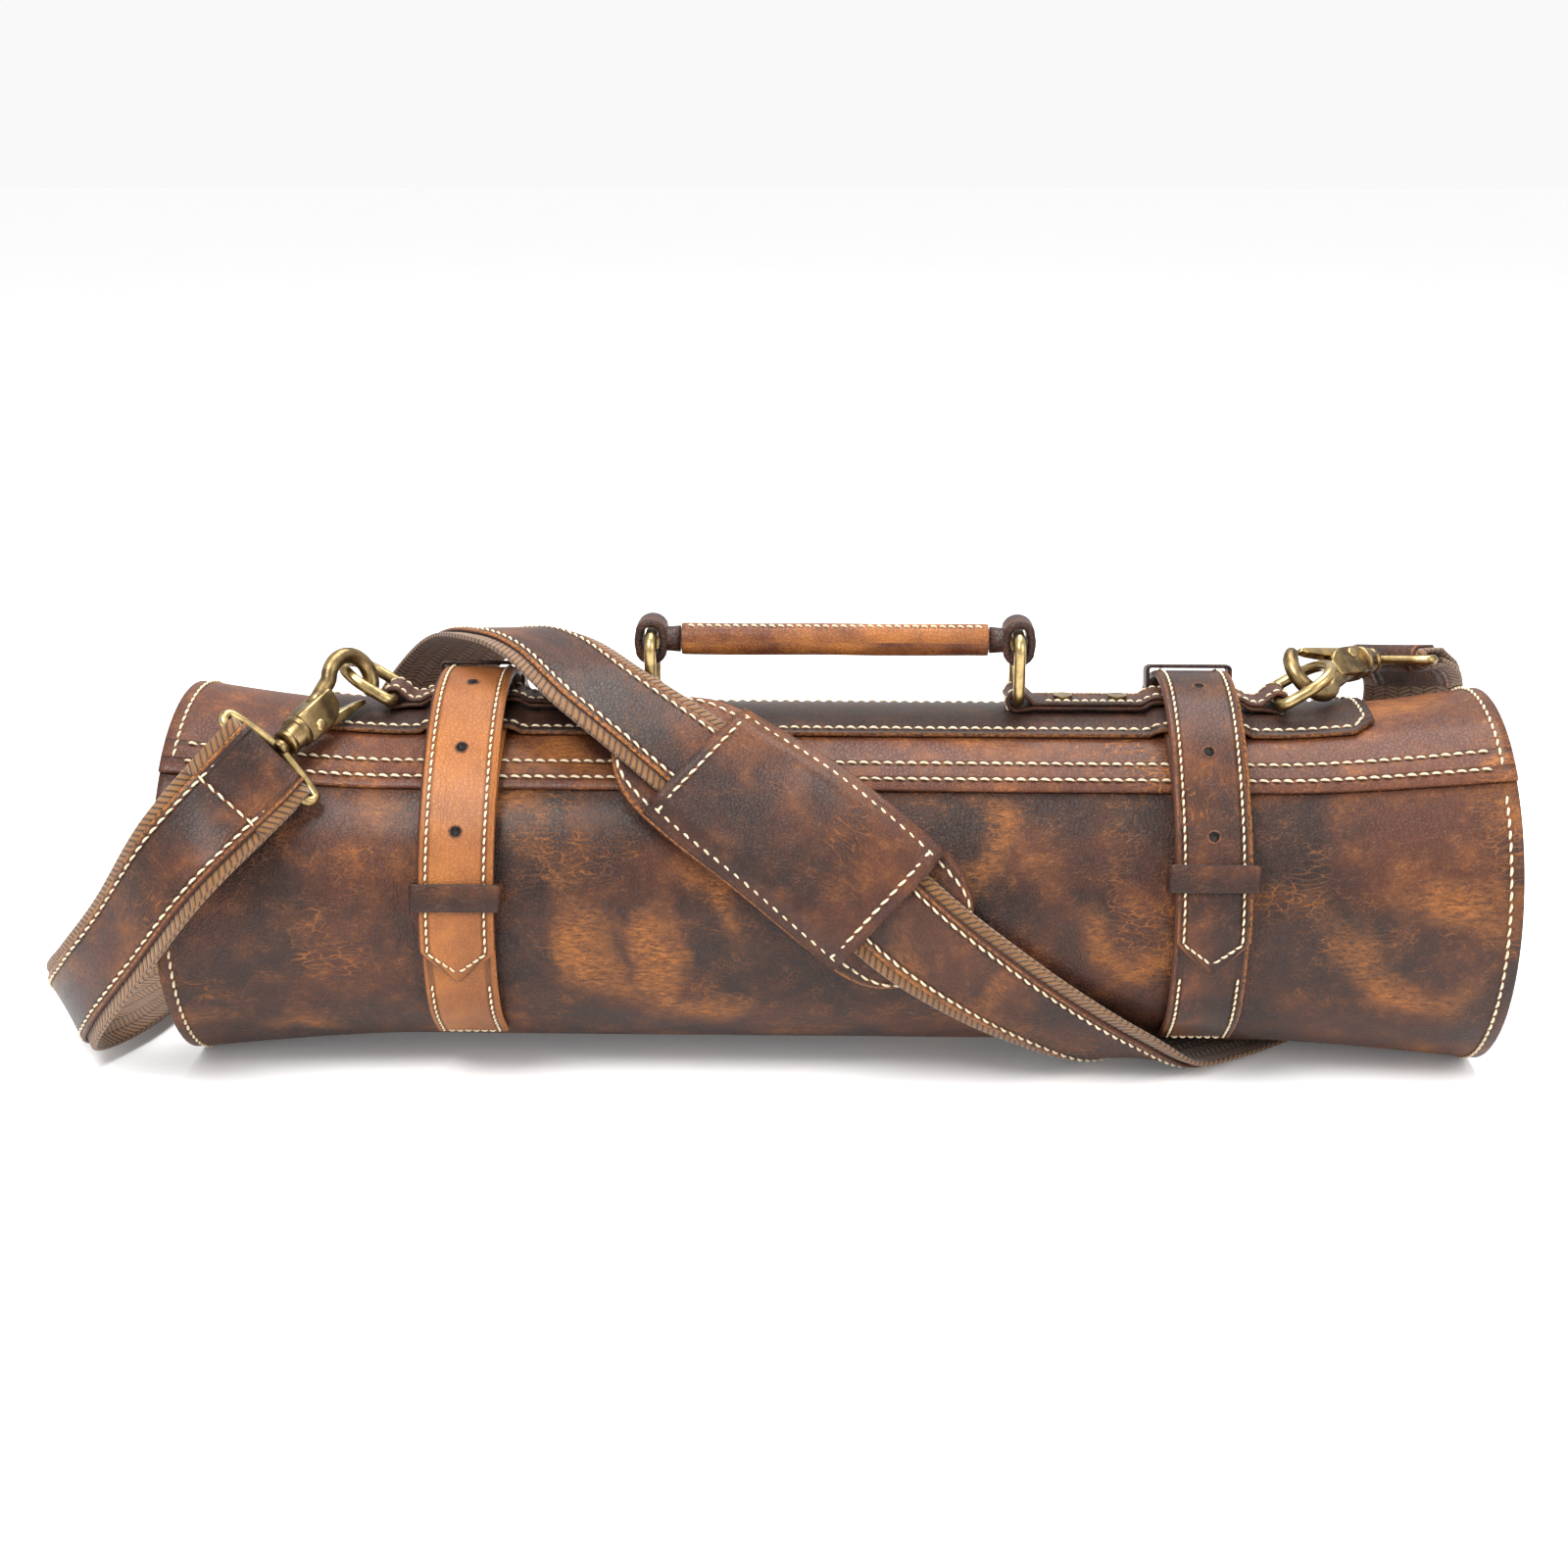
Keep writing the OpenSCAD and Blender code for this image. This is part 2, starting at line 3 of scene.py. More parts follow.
import bpy
import numpy as np
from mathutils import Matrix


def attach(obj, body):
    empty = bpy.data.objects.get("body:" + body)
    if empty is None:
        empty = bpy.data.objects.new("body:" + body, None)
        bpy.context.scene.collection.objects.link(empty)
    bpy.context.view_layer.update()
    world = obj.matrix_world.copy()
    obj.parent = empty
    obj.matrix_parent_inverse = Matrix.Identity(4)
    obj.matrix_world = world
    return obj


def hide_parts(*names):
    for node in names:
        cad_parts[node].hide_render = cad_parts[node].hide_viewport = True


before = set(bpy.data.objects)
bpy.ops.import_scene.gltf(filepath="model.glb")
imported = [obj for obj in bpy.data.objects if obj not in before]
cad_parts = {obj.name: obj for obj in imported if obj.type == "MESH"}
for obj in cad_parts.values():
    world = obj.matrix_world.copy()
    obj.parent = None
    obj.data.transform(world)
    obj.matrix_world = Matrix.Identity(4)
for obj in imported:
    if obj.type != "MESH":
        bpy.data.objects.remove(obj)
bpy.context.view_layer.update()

rng = np.random.default_rng(7)

MM = 0.001
ROLL_R = 61.0
LEATHER = 1.8
GROUND_GAP = 4.2
SETTLE = 1.8
AXIS_Z = ROLL_R + GROUND_GAP
UPPER_R = ROLL_R + LEATHER
HALF_L = 239.0
FLARE = 7.5
FLARE_X = 160.0
LIP = 47.0
CLOSING = 225.0
TURN_PITCH = 14.0
BELT_X = 132.0
BELT_W = 27.0
KEEPER_W = 9.8
KEEPER_T = 1.4
RING_X = 67.0
RING_H = 23.6
RING_W = 23.0
WIRE_R = 2.2
D_RING_X = 162.0
RING_STRAP_Z = AXIS_Z + UPPER_R + 3.0
BAR_Z = RING_STRAP_Z + 3.4
GRIP_Z = BAR_Z + RING_H - 2.2
SIDES = (("left", -1), ("right", 1))

# Stitch length and thread thickness of each kind of seam
ROLL_SEAM = (4.3, 1.0)
STRAP_SEAM = (4.3, 0.95)
PATCH_SEAM = (4.1, 0.95)
PAD_SEAM = (4.5, 1.0)
BELT_SEAM = (3.25, 0.85)
TRIM_SEAM = (3.3, 0.8)
GRIP_SEAM = (3.3, 0.85)


# ---- camera, floor and light ---------------------------------------------------

def studio():
    view = bpy.data.cameras.new("view")
    view.lens = 52.65
    view.sensor_width = 36
    camera = bpy.data.objects.new("view", view)
    camera.location = (0, -0.8207, 0.3446)
    camera.rotation_euler = (math.radians(90 - 16.57), 0, math.radians(1.3))
    bpy.context.collection.objects.link(camera)
    bpy.context.scene.camera = camera
    for name, place, size, power, turn in (
        ("key", (-0.5, -0.75, 1.2), 0.6, 22, (34, 0, -30)),
        ("fill", (0.95, -0.75, 0.75), 0.8, 8, (58, 0, 52)),
        ("top", (0.1, 0.3, 1.3), 0.8, 20, (-12, 4, 0)),
        ("rim", (0.2, 1.2, 0.7), 0.9, 10, (-62, 0, 170)),
    ):
        lamp = bpy.data.lights.new(name, "AREA")
        lamp.size = size
        lamp.energy = power
        lamp_object = bpy.data.objects.new(name, lamp)
        lamp_object.location = place
        lamp_object.rotation_euler = [math.radians(a) for a in turn]
        bpy.context.collection.objects.link(lamp_object)
    world = bpy.data.worlds.new("studio")
    world.use_nodes = True
    world.node_tree.nodes["Background"].inputs[0].default_value = (1, 1, 1, 1)
    world.node_tree.nodes["Background"].inputs[1].default_value = 0.95
    bpy.context.scene.world = world
    bpy.context.scene.view_settings.view_transform = "Standard"


# ---- materials -----------------------------------------------------------------

class Value:
    """A socket that carries a number and takes part in arithmetic."""

    def __init__(self, finish, socket):
        self.finish = finish
        self.socket = socket

    def math(self, kind, *others):
        inputs = {i: v for i, v in enumerate((self,) + others)}
        return self.finish.node("ShaderNodeMath", {"operation": kind}, inputs)

    def __add__(self, other):
        return self.math("ADD", other)

    def __sub__(self, other):
        return self.math("SUBTRACT", other)

    def __mul__(self, other):
        return self.math("MULTIPLY", other)

    def __truediv__(self, other):
        return self.math("DIVIDE", other)

    def __rsub__(self, other):
        return self * -1 + other

    __radd__ = __add__
    __rmul__ = __mul__

    def band(self, low, high):
        """0 at low, 1 at high, smooth between them."""
        return self.finish.node("ShaderNodeMapRange", {"interpolation_type": "SMOOTHSTEP"},
                                {"Value": self, "From Min": low, "From Max": high})


class Finish:
    """One material on one shader, built up from values."""

    def __init__(self, name, **constants):
        self.material = bpy.data.materials.new(name)
        self.material.use_nodes = True
        self.tree = self.material.node_tree
        self.shader = self.tree.nodes["Principled BSDF"]
        for key, value in constants.items():
            self.shader.inputs[key.replace("_", " ")].default_value = value

    def node(self, kind, settings=None, inputs=None, output=0):
        made = self.tree.nodes.new(kind)
        for key, value in (settings or {}).items():
            setattr(made, key, value)
        for key, value in (inputs or {}).items():
            if isinstance(value, Value):
                self.tree.links.new(value.socket, made.inputs[key])
            else:
                made.inputs[key].default_value = value
        return Value(self, made.outputs[output])

    def cloth_place(self):
        """Place on the surface, in metres: along it, then across it."""
        return self.node("ShaderNodeUVMap", {"uv_map": "UVMap"})

    def solid_place(self):
        return self.node("ShaderNodeTexCoord", output="Object")

    def parts(self, vector):
        """The parts of a place along and across the surface."""
        split = self.node("ShaderNodeSeparateXYZ", {}, {0: vector}).socket.node
        return [Value(self, s) for s in split.outputs[:2]]

    def noise(self, place, scale, detail=4.0, rough=0.55, output=0):
        return self.node("ShaderNodeTexNoise", {},
                         {"Vector": place, "Scale": scale, "Detail": detail, "Roughness": rough},
                         output)

    def cracks(self, place, scale):
        """Distance from the borders of irregular cells."""
        return self.node("ShaderNodeTexVoronoi", {"feature": "DISTANCE_TO_EDGE"},
                         {"Vector": place, "Scale": scale})

    def warped(self, place, scale, amount):
        shift = self.noise(place, scale, 3.0, 0.5, 1)
        shift = self.node("ShaderNodeVectorMath", {"operation": "SUBTRACT"},
                          {0: shift, 1: (0.5, 0.5, 0.5)})
        shift = self.node("ShaderNodeVectorMath", {"operation": "SCALE"},
                          {0: shift, "Scale": amount})
        return self.node("ShaderNodeVectorMath", {"operation": "ADD"}, {0: place, 1: shift})

    def stretched(self, place, x, y):
        return self.node("ShaderNodeVectorMath", {"operation": "MULTIPLY"},
                         {0: place, 1: (x, y, 1.0)})

    def mix(self, amount, first, second):
        return self.node("ShaderNodeMix", {"data_type": "RGBA"},
                         {0: amount, 6: first, 7: second}, 2)

    def done(self, colour, roughness, height, depth, strength=0.6):
        bump = self.node("ShaderNodeBump", {}, {"Height": height, "Distance": depth,
                                                "Strength": strength})
        for key, value in (("Base Color", colour), ("Roughness", roughness), ("Normal", bump)):
            self.tree.links.new(value.socket, self.shader.inputs[key])
        return self.material


def colour(r, g, b):
    return (r, g, b, 1.0)


DARK = colour(0.016, 0.0048, 0.0024)
BROWN = colour(0.056, 0.0145, 0.0052)
RED_BROWN = colour(0.082, 0.0210, 0.0070)
TAN = colour(0.290, 0.098, 0.0190)
ORANGE = colour(0.400, 0.140, 0.0260)
HONEY = colour(0.190, 0.060, 0.0140)


def leather(name, low, high, vein, veins=0.5, grain=0.5, half=0.0, seams=(), wear=0.5):
    """Waxed pull-up leather: cloudy body colour, pale veins and creases, and painted shade darkening the
    seam grooves.
    """
    f = Finish(name, Coat_Weight=0.10, Coat_Roughness=0.22, Specular_IOR_Level=0.28)
    place = f.cloth_place()
    bent = f.warped(place, 38.0, 0.016)
    fine = f.warped(place, 220.0, 0.0035)
    clouds = f.noise(bent, 19.0, 4.0, 0.6)
    patches = f.noise(fine, 75.0, 6.0, 0.65)
    body = f.mix(clouds.band(0.36, 0.66), low, high)
    body = f.mix(patches.band(0.46, 0.80) * 0.28 * clouds.band(0.40, 0.66), body, vein)
    lines = 1 - f.cracks(f.warped(bent, 120.0, 0.008), 17.0).band(0.0, 0.15)
    where = f.noise(place, 12.0, 2.0, 0.5).band(0.50, 0.62)
    fray = f.noise(f.stretched(fine, 0.7, 2.6), 330.0, 5.0, 0.75).band(0.30, 0.62)
    lines = lines * where * fray * veins
    fan = f.warped(f.stretched(place, 0.45, 1.5), 60.0, 0.02)
    threads = 1 - f.cracks(fan, 300.0).band(0.0, 0.09)
    threads = threads * f.noise(bent, 24.0, 4.0, 0.6).band(0.50, 0.68)
    creases = 1 - f.cracks(fine, 620.0).band(0.0, 0.14)
    body = f.mix(lines, body, vein)
    body = f.mix(threads * grain, body, vein)
    body = f.mix(creases * patches.band(0.42, 0.7) * (grain * 0.55), body, vein)
    streaks = f.noise(f.stretched(fine, 1.0, 7.0), 180.0, 4.0, 0.7).band(0.60, 0.78)
    body = f.mix(streaks * (0.35 * wear), body, vein)
    pores = f.noise(place, 1500.0, 3.0, 0.6)
    height = patches * 0.5 + pores * 0.16 - lines * 0.5 - threads * 0.42 - creases * 0.26
    across = f.parts(place)[1]
    if half:
        away = across.math("ABSOLUTE")
        rim = away.band(half - 0.0022, half - 0.0004)
        rough_rim = rim * f.noise(place, 700.0, 3.0, 0.6).band(0.3, 0.7)
        body = f.mix(rough_rim * wear, body, ORANGE)
        body = f.mix(away.band(half - 0.0001, half + 0.0006), body, BROWN)
        height = height - rim * 0.9
    for seam in seams:
        away = (across - seam).math("ABSOLUTE")
        groove = 1 - away.band(0.0002, 0.0016)
        # painted shade: the colour is darkened along each seam groove, where shade falls
        body = f.mix(groove * 0.5, body, DARK)
        height = height - groove * 1.3
    roughness = 0.34 + patches * 0.22 + threads * 0.12 + clouds * 0.12
    return f.done(body, roughness, height, 0.0011, 0.75)


def suede(name, low, high):
    f = Finish(name, Specular_IOR_Level=0.2, Sheen_Weight=0.25)
    place = f.cloth_place()
    nap = f.noise(f.stretched(place, 1.0, 2.0), 900.0, 4.0, 0.7)
    blotch = f.noise(place, 60.0, 4.0, 0.6)
    body = f.mix(blotch.band(0.35, 0.65), low, high)
    body = f.mix(nap.band(0.5, 0.75) * 0.4, body, high)
    return f.done(body, 0.86 + blotch * 0.1, nap, 0.0005)


def braid():
    """Herringbone braid: slanting plaits in narrow columns, with fuzz over them."""
    f = Finish("braided_webbing", Specular_IOR_Level=0.2, Sheen_Weight=0.3)
    place = f.warped(f.cloth_place(), 500.0, 0.0006)
    along, across = f.parts(place)
    column = (across / 0.0048).math("PINGPONG", 1.0)
    phase = along / 0.0026 + column * 1.15
    plait = (phase * math.pi).math("SINE").math("ABSOLUTE")
    gap = (column * math.pi).math("SINE").math("ABSOLUTE").band(0.0, 0.45)
    height = plait.band(0.1, 0.8) * 0.8 + gap * 0.35
    fuzz = f.noise(f.stretched(place, 1.0, 3.0), 1300.0, 4.0, 0.7)
    cloud = f.noise(place, 55.0, 3.0, 0.6)
    # painted shade: the braid is coloured dark in the grooves between plaits and between columns
    body = f.mix(plait.band(0.15, 0.85) * gap, colour(0.045, 0.018, 0.0065),
                 colour(0.19, 0.088, 0.030))
    body = f.mix(fuzz.band(0.45, 0.7) * 0.5, body, colour(0.29, 0.145, 0.055))
    body = f.mix(cloud.band(0.4, 0.7) * 0.35, body, colour(0.08, 0.033, 0.013))
    return f.done(body, 0.8 + fuzz * 0.15, height + fuzz * 0.35, 0.0009, 0.9)


def canvas():
    f = Finish("pocket_cloth", Specular_IOR_Level=0.2, Sheen_Weight=0.2)
    along, across = f.parts(f.cloth_place())
    warp = (along * (math.pi / 0.0011)).math("SINE").math("ABSOLUTE")
    weft = (across * (math.pi / 0.0011)).math("SINE").math("ABSOLUTE")
    cloud = f.noise(f.cloth_place(), 160.0, 4.0, 0.6)
    # painted shade: the cloth is coloured darker in the gaps between warp and weft threads
    body = f.mix(warp * weft, colour(0.16, 0.105, 0.055), colour(0.34, 0.25, 0.14))
    body = f.mix(cloud.band(0.4, 0.7) * 0.4, body, colour(0.22, 0.14, 0.07))
    return f.done(body, 0.85 + cloud * 0.1, warp + weft, 0.0003)


def brass(name, bright, dull, tarnish=0.5, rough=0.22):
    """Antique brass: dark film with rubbed places, fine scratches and soft dents."""
    f = Finish(name, Specular_IOR_Level=0.6)
    f.shader.inputs["Metallic"].default_value = 1.0
    place = f.solid_place()
    film = f.noise(f.warped(place, 90.0, 0.006), 130.0, 5.0, 0.6)
    specks = f.noise(place, 900.0, 3.0, 0.6)
    scratch = f.noise(f.stretched(place, 0.35, 2.4), 1500.0, 2.0, 0.6)
    body = f.mix(film.band(0.34, 0.66) * tarnish, bright, dull)
    body = f.mix(specks.band(0.62, 0.75) * 0.5, body, colour(0.05, 0.032, 0.016))
    roughness = rough + film * 0.16 + scratch * 0.08
    return f.done(body, roughness, film * 0.6 + scratch * 0.2 + specks * 0.1, 0.00025, 0.5)


def thread():
    """Waxed cream thread with its twist."""
    f = Finish("cream_thread", Specular_IOR_Level=0.35)
    along, across = f.parts(f.cloth_place())
    twist = ((along / 0.00075 + across / 0.0009) * math.pi).math("SINE").math("ABSOLUTE")
    grime = f.noise(f.solid_place(), 210.0, 3.0, 0.6)
    # painted shade: the thread is coloured darker in the grooves of its twist
    body = f.mix(twist.band(0.0, 0.6), colour(0.36, 0.24, 0.13), colour(0.80, 0.68, 0.48))
    body = f.mix(grime.band(0.45, 0.75) * 0.55, body, colour(0.50, 0.33, 0.17))
    return f.done(body, 0.5 + grime * 0.25, twist, 0.00022, 0.9)


def plain_rough(name, low, high, scale=400.0, rough=0.8, glow=0.0):
    f = Finish(name, Emission_Color=colour(1, 1, 1), Emission_Strength=glow)
    spots = f.noise(f.solid_place(), scale, 4.0, 0.65)
    body = f.mix(spots.band(0.35, 0.65), low, high)
    return f.done(body, rough + spots * 0.1, spots, 0.0003)


def finishes():
    edge = BELT_W * MM / 2
    return {
        "upper": leather("tan_grained_leather", BROWN, RED_BROWN, ORANGE, 0.55, 0.75,
                         seams=(0.0045, 0.0115), wear=0.9),
        "lower": leather("dark_veined_leather", DARK, BROWN, TAN, 0.95, 0.6),
        "patch": leather("dark_patch_leather", DARK, colour(0.030, 0.0115, 0.0075), TAN, 0.15,
                         0.14, half=0.0227, seams=(-0.0192, 0.0192), wear=0.5),
        "belt_left": leather("honey_belt_leather", HONEY, colour(0.29, 0.100, 0.023), ORANGE,
                             0.2, 0.5, half=edge, seams=(-0.0102, 0.0102), wear=0.6),
        "belt_right": leather("brown_belt_leather", DARK, BROWN, TAN, 0.3, 0.4,
                              half=edge, seams=(-0.0102, 0.0102), wear=0.8),
        "trim": leather("dark_trim_leather", DARK, BROWN, TAN, 0.2, 0.3, wear=0.6),
        "strap": leather("red_brown_strap_leather", DARK, BROWN, TAN, 0.5, 0.4,
                         half=0.0145, seams=(-0.0118, 0.0118), wear=0.9),
        "pad": leather("pad_leather", DARK, RED_BROWN, TAN, 0.3, 0.4, half=0.029, wear=0.8),
        "grip": leather("grip_leather", RED_BROWN, TAN, ORANGE, 0.35, 0.7, wear=0.8),
        "suede": suede("lining_suede", colour(0.075, 0.034, 0.017), colour(0.19, 0.095, 0.045)),
        "flap": suede("flap_suede", colour(0.04, 0.018, 0.010), colour(0.11, 0.052, 0.026)),
        "cloth": canvas(),
        "braid": braid(),
        "brass": brass("bright_antique_brass", colour(0.50, 0.36, 0.16),
                       colour(0.12, 0.078, 0.034), 0.75, 0.18),
        "cast": brass("dark_antique_brass", colour(0.32, 0.22, 0.10),
                      colour(0.060, 0.040, 0.020), 0.85, 0.22),
        "thread": thread(),
        "prick": plain_rough("thread_holes", colour(0.17, 0.058, 0.016),
                             colour(0.04, 0.013, 0.006), 900.0),
        # painted shade: near-black colour for the discs that stand in for the inside of the belt holes
        "hole": plain_rough("belt_hole_painted_shade", colour(0.008, 0.004, 0.003),
                            colour(0.03, 0.013, 0.008)),
        "rope": plain_rough("rope_core", colour(0.30, 0.21, 0.12), colour(0.58, 0.45, 0.28)),
        "floor": plain_rough("pale_floor", colour(0.92, 0.92, 0.92), colour(0.94, 0.94, 0.94),
                             8.0, 0.6, 0.07),
    }


# ---- making meshes -------------------------------------------------------------

def place(piece, body, nodes=(), slot=None):
    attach(piece, body)
    if nodes:
        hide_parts(*nodes)
    return piece


def mesh_piece(name, corners, faces, marks, finish):
    """A smooth mesh from corners in millimetres and one texture mark for each face corner."""
    data = bpy.data.meshes.new(name)
    data.from_pydata((np.asarray(corners) * MM).tolist(), [], faces)
    layer = data.uv_layers.new(name="UVMap")
    layer.data.foreach_set("uv", np.asarray(marks, float).ravel())
    data.materials.append(finish)
    data.polygons.foreach_set("use_smooth", [True] * len(data.polygons))
    data.update()
    piece = bpy.data.objects.new(name, data)
    bpy.context.collection.objects.link(piece)
    return piece


def loft(name, rings, across, finish, loop=False):
    """A closed skin through rings of points; across is each ring point's mark, in mm."""
    rings = np.asarray(rings, float)
    rows, n = rings.shape[:2]
    steps = np.linalg.norm(np.diff(rings.mean(1), axis=0), axis=1)
    along = np.concatenate([[0], np.cumsum(steps)])
    across = list(across) + [across[-1] + 2.0]
    faces, marks = [], []
    for i in range(rows if loop else rows - 1):
        k = (i + 1) % rows
        u0 = along[i] * MM
        u1 = (along[i + 1] if i + 1 < rows else along[-1] + steps[-1]) * MM
        for j in range(n):
            m = (j + 1) % n
            faces.append((i * n + j, i * n + m, k * n + m, k * n + j))
            v0, v1 = across[j] * MM, across[j + 1] * MM
            marks += [(u0, v0), (u0, v1), (u1, v1), (u1, v0)]
    if not loop:
        for row, ring in ((0, range(n - 1, -1, -1)), (rows - 1, range(n))):
            faces.append(tuple(row * n + j for j in ring))
            marks += [(along[row] * MM, across[j] * MM) for j in ring]
    return mesh_piece(name, rings.reshape(-1, 3), faces, marks, finish)


def slab_ring(half, k0, k1, count):
    """Points (across, height) round the section of a flat strip with rounded edges."""
    mid, r = (k0 + k1) / 2, (k1 - k0) / 2
    inner = half - r * 0.8
    top = [(v, k1) for v in np.linspace(-inner, inner, count)]
    arcs = [(math.cos(a) * r * 0.8, math.sin(a) * r) for a in (0.9, 0.45, 0, -0.45, -0.9)]
    right = [(inner + dv, mid + dk) for dv, dk in arcs]
    bottom = [(v, k0) for v in np.linspace(inner, -inner, count)]
    left = [(-inner - dv, mid - dk) for dv, dk in arcs]
    ring = top + right + bottom + left
    marks = [-inner]
    for a, b in zip(ring, ring[1:]):
        marks.append(marks[-1] + math.hypot(b[0] - a[0], b[1] - a[1]))
    return np.array(ring), marks


def slab(name, at, us, half, k0, k1, finish, count=7, loop=False, narrow=None):
    """A flat strip with soft edges: at(u, across, height) gives its points."""
    ring, marks = slab_ring(half, k0, k1, count)
    mid = (k0 + k1) / 2
    rings = []
    rows = [(u, 1.0) for u in us]
    if not loop:
        first, last = us[0], us[-1]
        near, far = first + (us[1] - first) * 0.12, last + (us[-2] - last) * 0.12
        rows = [(first, 0.3), (near, 0.85)] + rows[1:-1] + [(far, 0.85), (last, 0.3)]
    for u, thick in rows:
        wide = narrow(u) if narrow else 1.0
        rings.append(at(u, ring[:, 0] * wide, mid + (ring[:, 1] - mid) * thick))
    return loft(name, rings, marks, finish, loop)


def unit(v):
    v = np.asarray(v, float)
    return v / np.linalg.norm(v, axis=-1, keepdims=True)


def tube(name, points, radius, finish, loop=False, sides=14, flat=None):
    """A wire along points; flat is the way up that its section starts from."""
    points = np.asarray(points, float)
    n = len(points)
    radius = np.full(n, radius) if np.isscalar(radius) else np.asarray(radius, float)
    if loop:
        ahead = unit(np.roll(points, -1, 0) - np.roll(points, 1, 0))
    else:
        ahead = unit(np.gradient(points, axis=0))
    up = np.array([0, 0, 1.0]) if abs(ahead[0][2]) < 0.8 else np.array([0, 1.0, 0])
    if flat is not None:
        up = np.asarray(flat, float)
    rings = []
    side = unit(np.cross(ahead[0], up))
    for i in range(n):
        side = unit(side - ahead[i] * np.dot(side, ahead[i]))
        other = np.cross(side, ahead[i])
        turn = np.arange(sides) * 2 * math.pi / sides
        rings.append(points[i] + radius[i] * (np.outer(np.cos(turn), side)
                                              + np.outer(np.sin(turn), other)))
    marks = np.arange(sides) * 2 * math.pi * radius.mean() / sides
    return loft(name, rings, list(marks), finish, loop)


def resample(points, pitch):
    points = np.asarray(points, float)
    lengths = np.concatenate([[0], np.cumsum(np.linalg.norm(np.diff(points, axis=0), axis=1))])
    count = max(2, int(round(lengths[-1] / pitch)))
    where = (np.arange(count) + 0.5) * lengths[-1] / count
    return np.stack([np.interp(where, lengths, points[:, k]) for k in range(points.shape[1])], 1)


class Sewing:
    """All the stitches of one body: one mesh of thread and one of needle holes."""

    def __init__(self, body):
        self.body = body
        self.rows = []

    def row(self, points, normals, pitch=4.2, thick=0.95, slant=0.14, fill=0.8):
        both = resample(np.hstack([np.asarray(points, float), np.asarray(normals, float)]), pitch)
        self.rows.append((both[:, :3], unit(both[:, 3:]), pitch, thick, slant, fill))

    def sew(self, kit):
        rings, sides = 9, 7
        t = np.linspace(-1, 1, rings)
        turn = np.arange(sides) * 2 * math.pi / sides
        corners, faces, marks = [], [], []
        dots, dot_faces, dot_marks = [], [], []
        for points, normals, pitch, thick, slant, fill in self.rows:
            ahead = unit(np.gradient(points, axis=0))
            for p, n, a in zip(points, normals, ahead):
                side = unit(np.cross(a, n))
                half = pitch * fill / 2
                lean = slant + rng.normal(0, 0.03)
                size = thick / 2 * rng.uniform(0.9, 1.08)
                base = len(corners)
                for s in t:
                    r = size * math.sqrt(max(0.06, 1 - abs(s) ** 3.2))
                    lift = size * (1.15 * (1 - s * s) - 0.28)
                    mid = p + a * half * s + side * lean * half * s + n * lift
                    corners += list(mid + r * (np.outer(np.cos(turn), side)
                                               + np.outer(np.sin(turn), n)))
                for i in range(rings - 1):
                    row, after = base + i * sides, base + (i + 1) * sides
                    for j in range(sides):
                        m = (j + 1) % sides
                        faces.append((row + j, row + m, after + m, after + j))
                        u0, u1 = t[i] * half * MM, t[i + 1] * half * MM
                        v0, v1 = j * size * MM, (j + 1) * size * MM
                        marks += [(u0, v0), (u0, v1), (u1, v1), (u1, v0)]
                for end in (-1, 1):
                    mid = p + end * (a + side * lean) * half * 1.08 + n * 0.04
                    start = len(dots)
                    dots += list(mid + size * 1.15 * (np.outer(np.cos(turn), a) * 0.7
                                                      + np.outer(np.sin(turn), side)))
                    dot_faces.append(tuple(range(start, start + sides)))
                    dot_marks += [(0, 0)] * sides
        for name, c, f, m, finish in (("stitches_", corners, faces, marks, kit["thread"]),
                                      ("holes_", dots, dot_faces, dot_marks, kit["prick"])):
            place(mesh_piece(name + self.body, c, f, m, finish), self.body)


# ---- the roll's own shape ------------------------------------------------------

def ease(x):
    return np.maximum(0, (np.abs(x) - FLARE_X) / (HALF_L - FLARE_X)) ** 1.4


def skin(x, angle, k):
    """A point of the roll's skin: angle in degrees up from straight ahead, k above the skin."""
    x, angle, k = np.broadcast_arrays(x, angle, k)
    radius = ROLL_R + FLARE * ease(x)
    middle = radius + GROUND_GAP * (1 - ease(x)) - SETTLE * ease(x)
    rest = 4.8 * np.clip((HALF_L - 12 - np.abs(x)) / 14, 0, 1)
    a = np.radians(angle)
    z = np.maximum(middle + (radius + k) * np.sin(a), rest - k)
    return np.stack([x, -(radius + k) * np.cos(a), z], -1)


def outward(angle):
    a = np.radians(angle)
    return np.stack([0 * a, -np.cos(a), np.sin(a)], -1)


def through(knots, a):
    """Smooth curve through (place, value) knots, level at each of them."""
    places = [k[0] for k in knots]
    values = [k[1] for k in knots]
    i = int(np.clip(np.searchsorted(places, a) - 1, 0, len(knots) - 2))
    t = np.clip((a - places[i]) / (places[i + 1] - places[i]), 0, 1)
    return values[i] + (values[i + 1] - values[i]) * (1 - math.cos(math.pi * t)) / 2


def panel(name, a0, a1, low, high, finish, slot):
    """One outer panel, as a strip that is long round the roll and as wide as the roll."""
    centre = (a0 + a1) / 2
    per_mm = 180 / math.pi / ROLL_R
    half = (a1 - a0) / 2 / per_mm

    def at(x, arc, k):
        dent = 0.12 * np.sin(x / 17 + arc / 31) * np.sin(x / 41 - arc / 23)
        return skin(np.full_like(arc, x), centre - arc * per_mm, k - np.abs(dent))

    xs = np.concatenate([np.linspace(-HALF_L, -FLARE_X, 26), np.linspace(-FLARE_X, FLARE_X, 46)[1:],
                         np.linspace(FLARE_X, HALF_L, 26)[1:]])
    piece = slab(name, at, xs, half, low, high, finish, 80)
    data = piece.data
    marks = np.empty(len(data.loops) * 2)
    data.uv_layers[0].data.foreach_get("uv", marks)
    marks[1::2] = half * MM - marks[1::2]
    data.uv_layers[0].data.foreach_set("uv", marks)
    return place(piece, "roll", [name], slot)


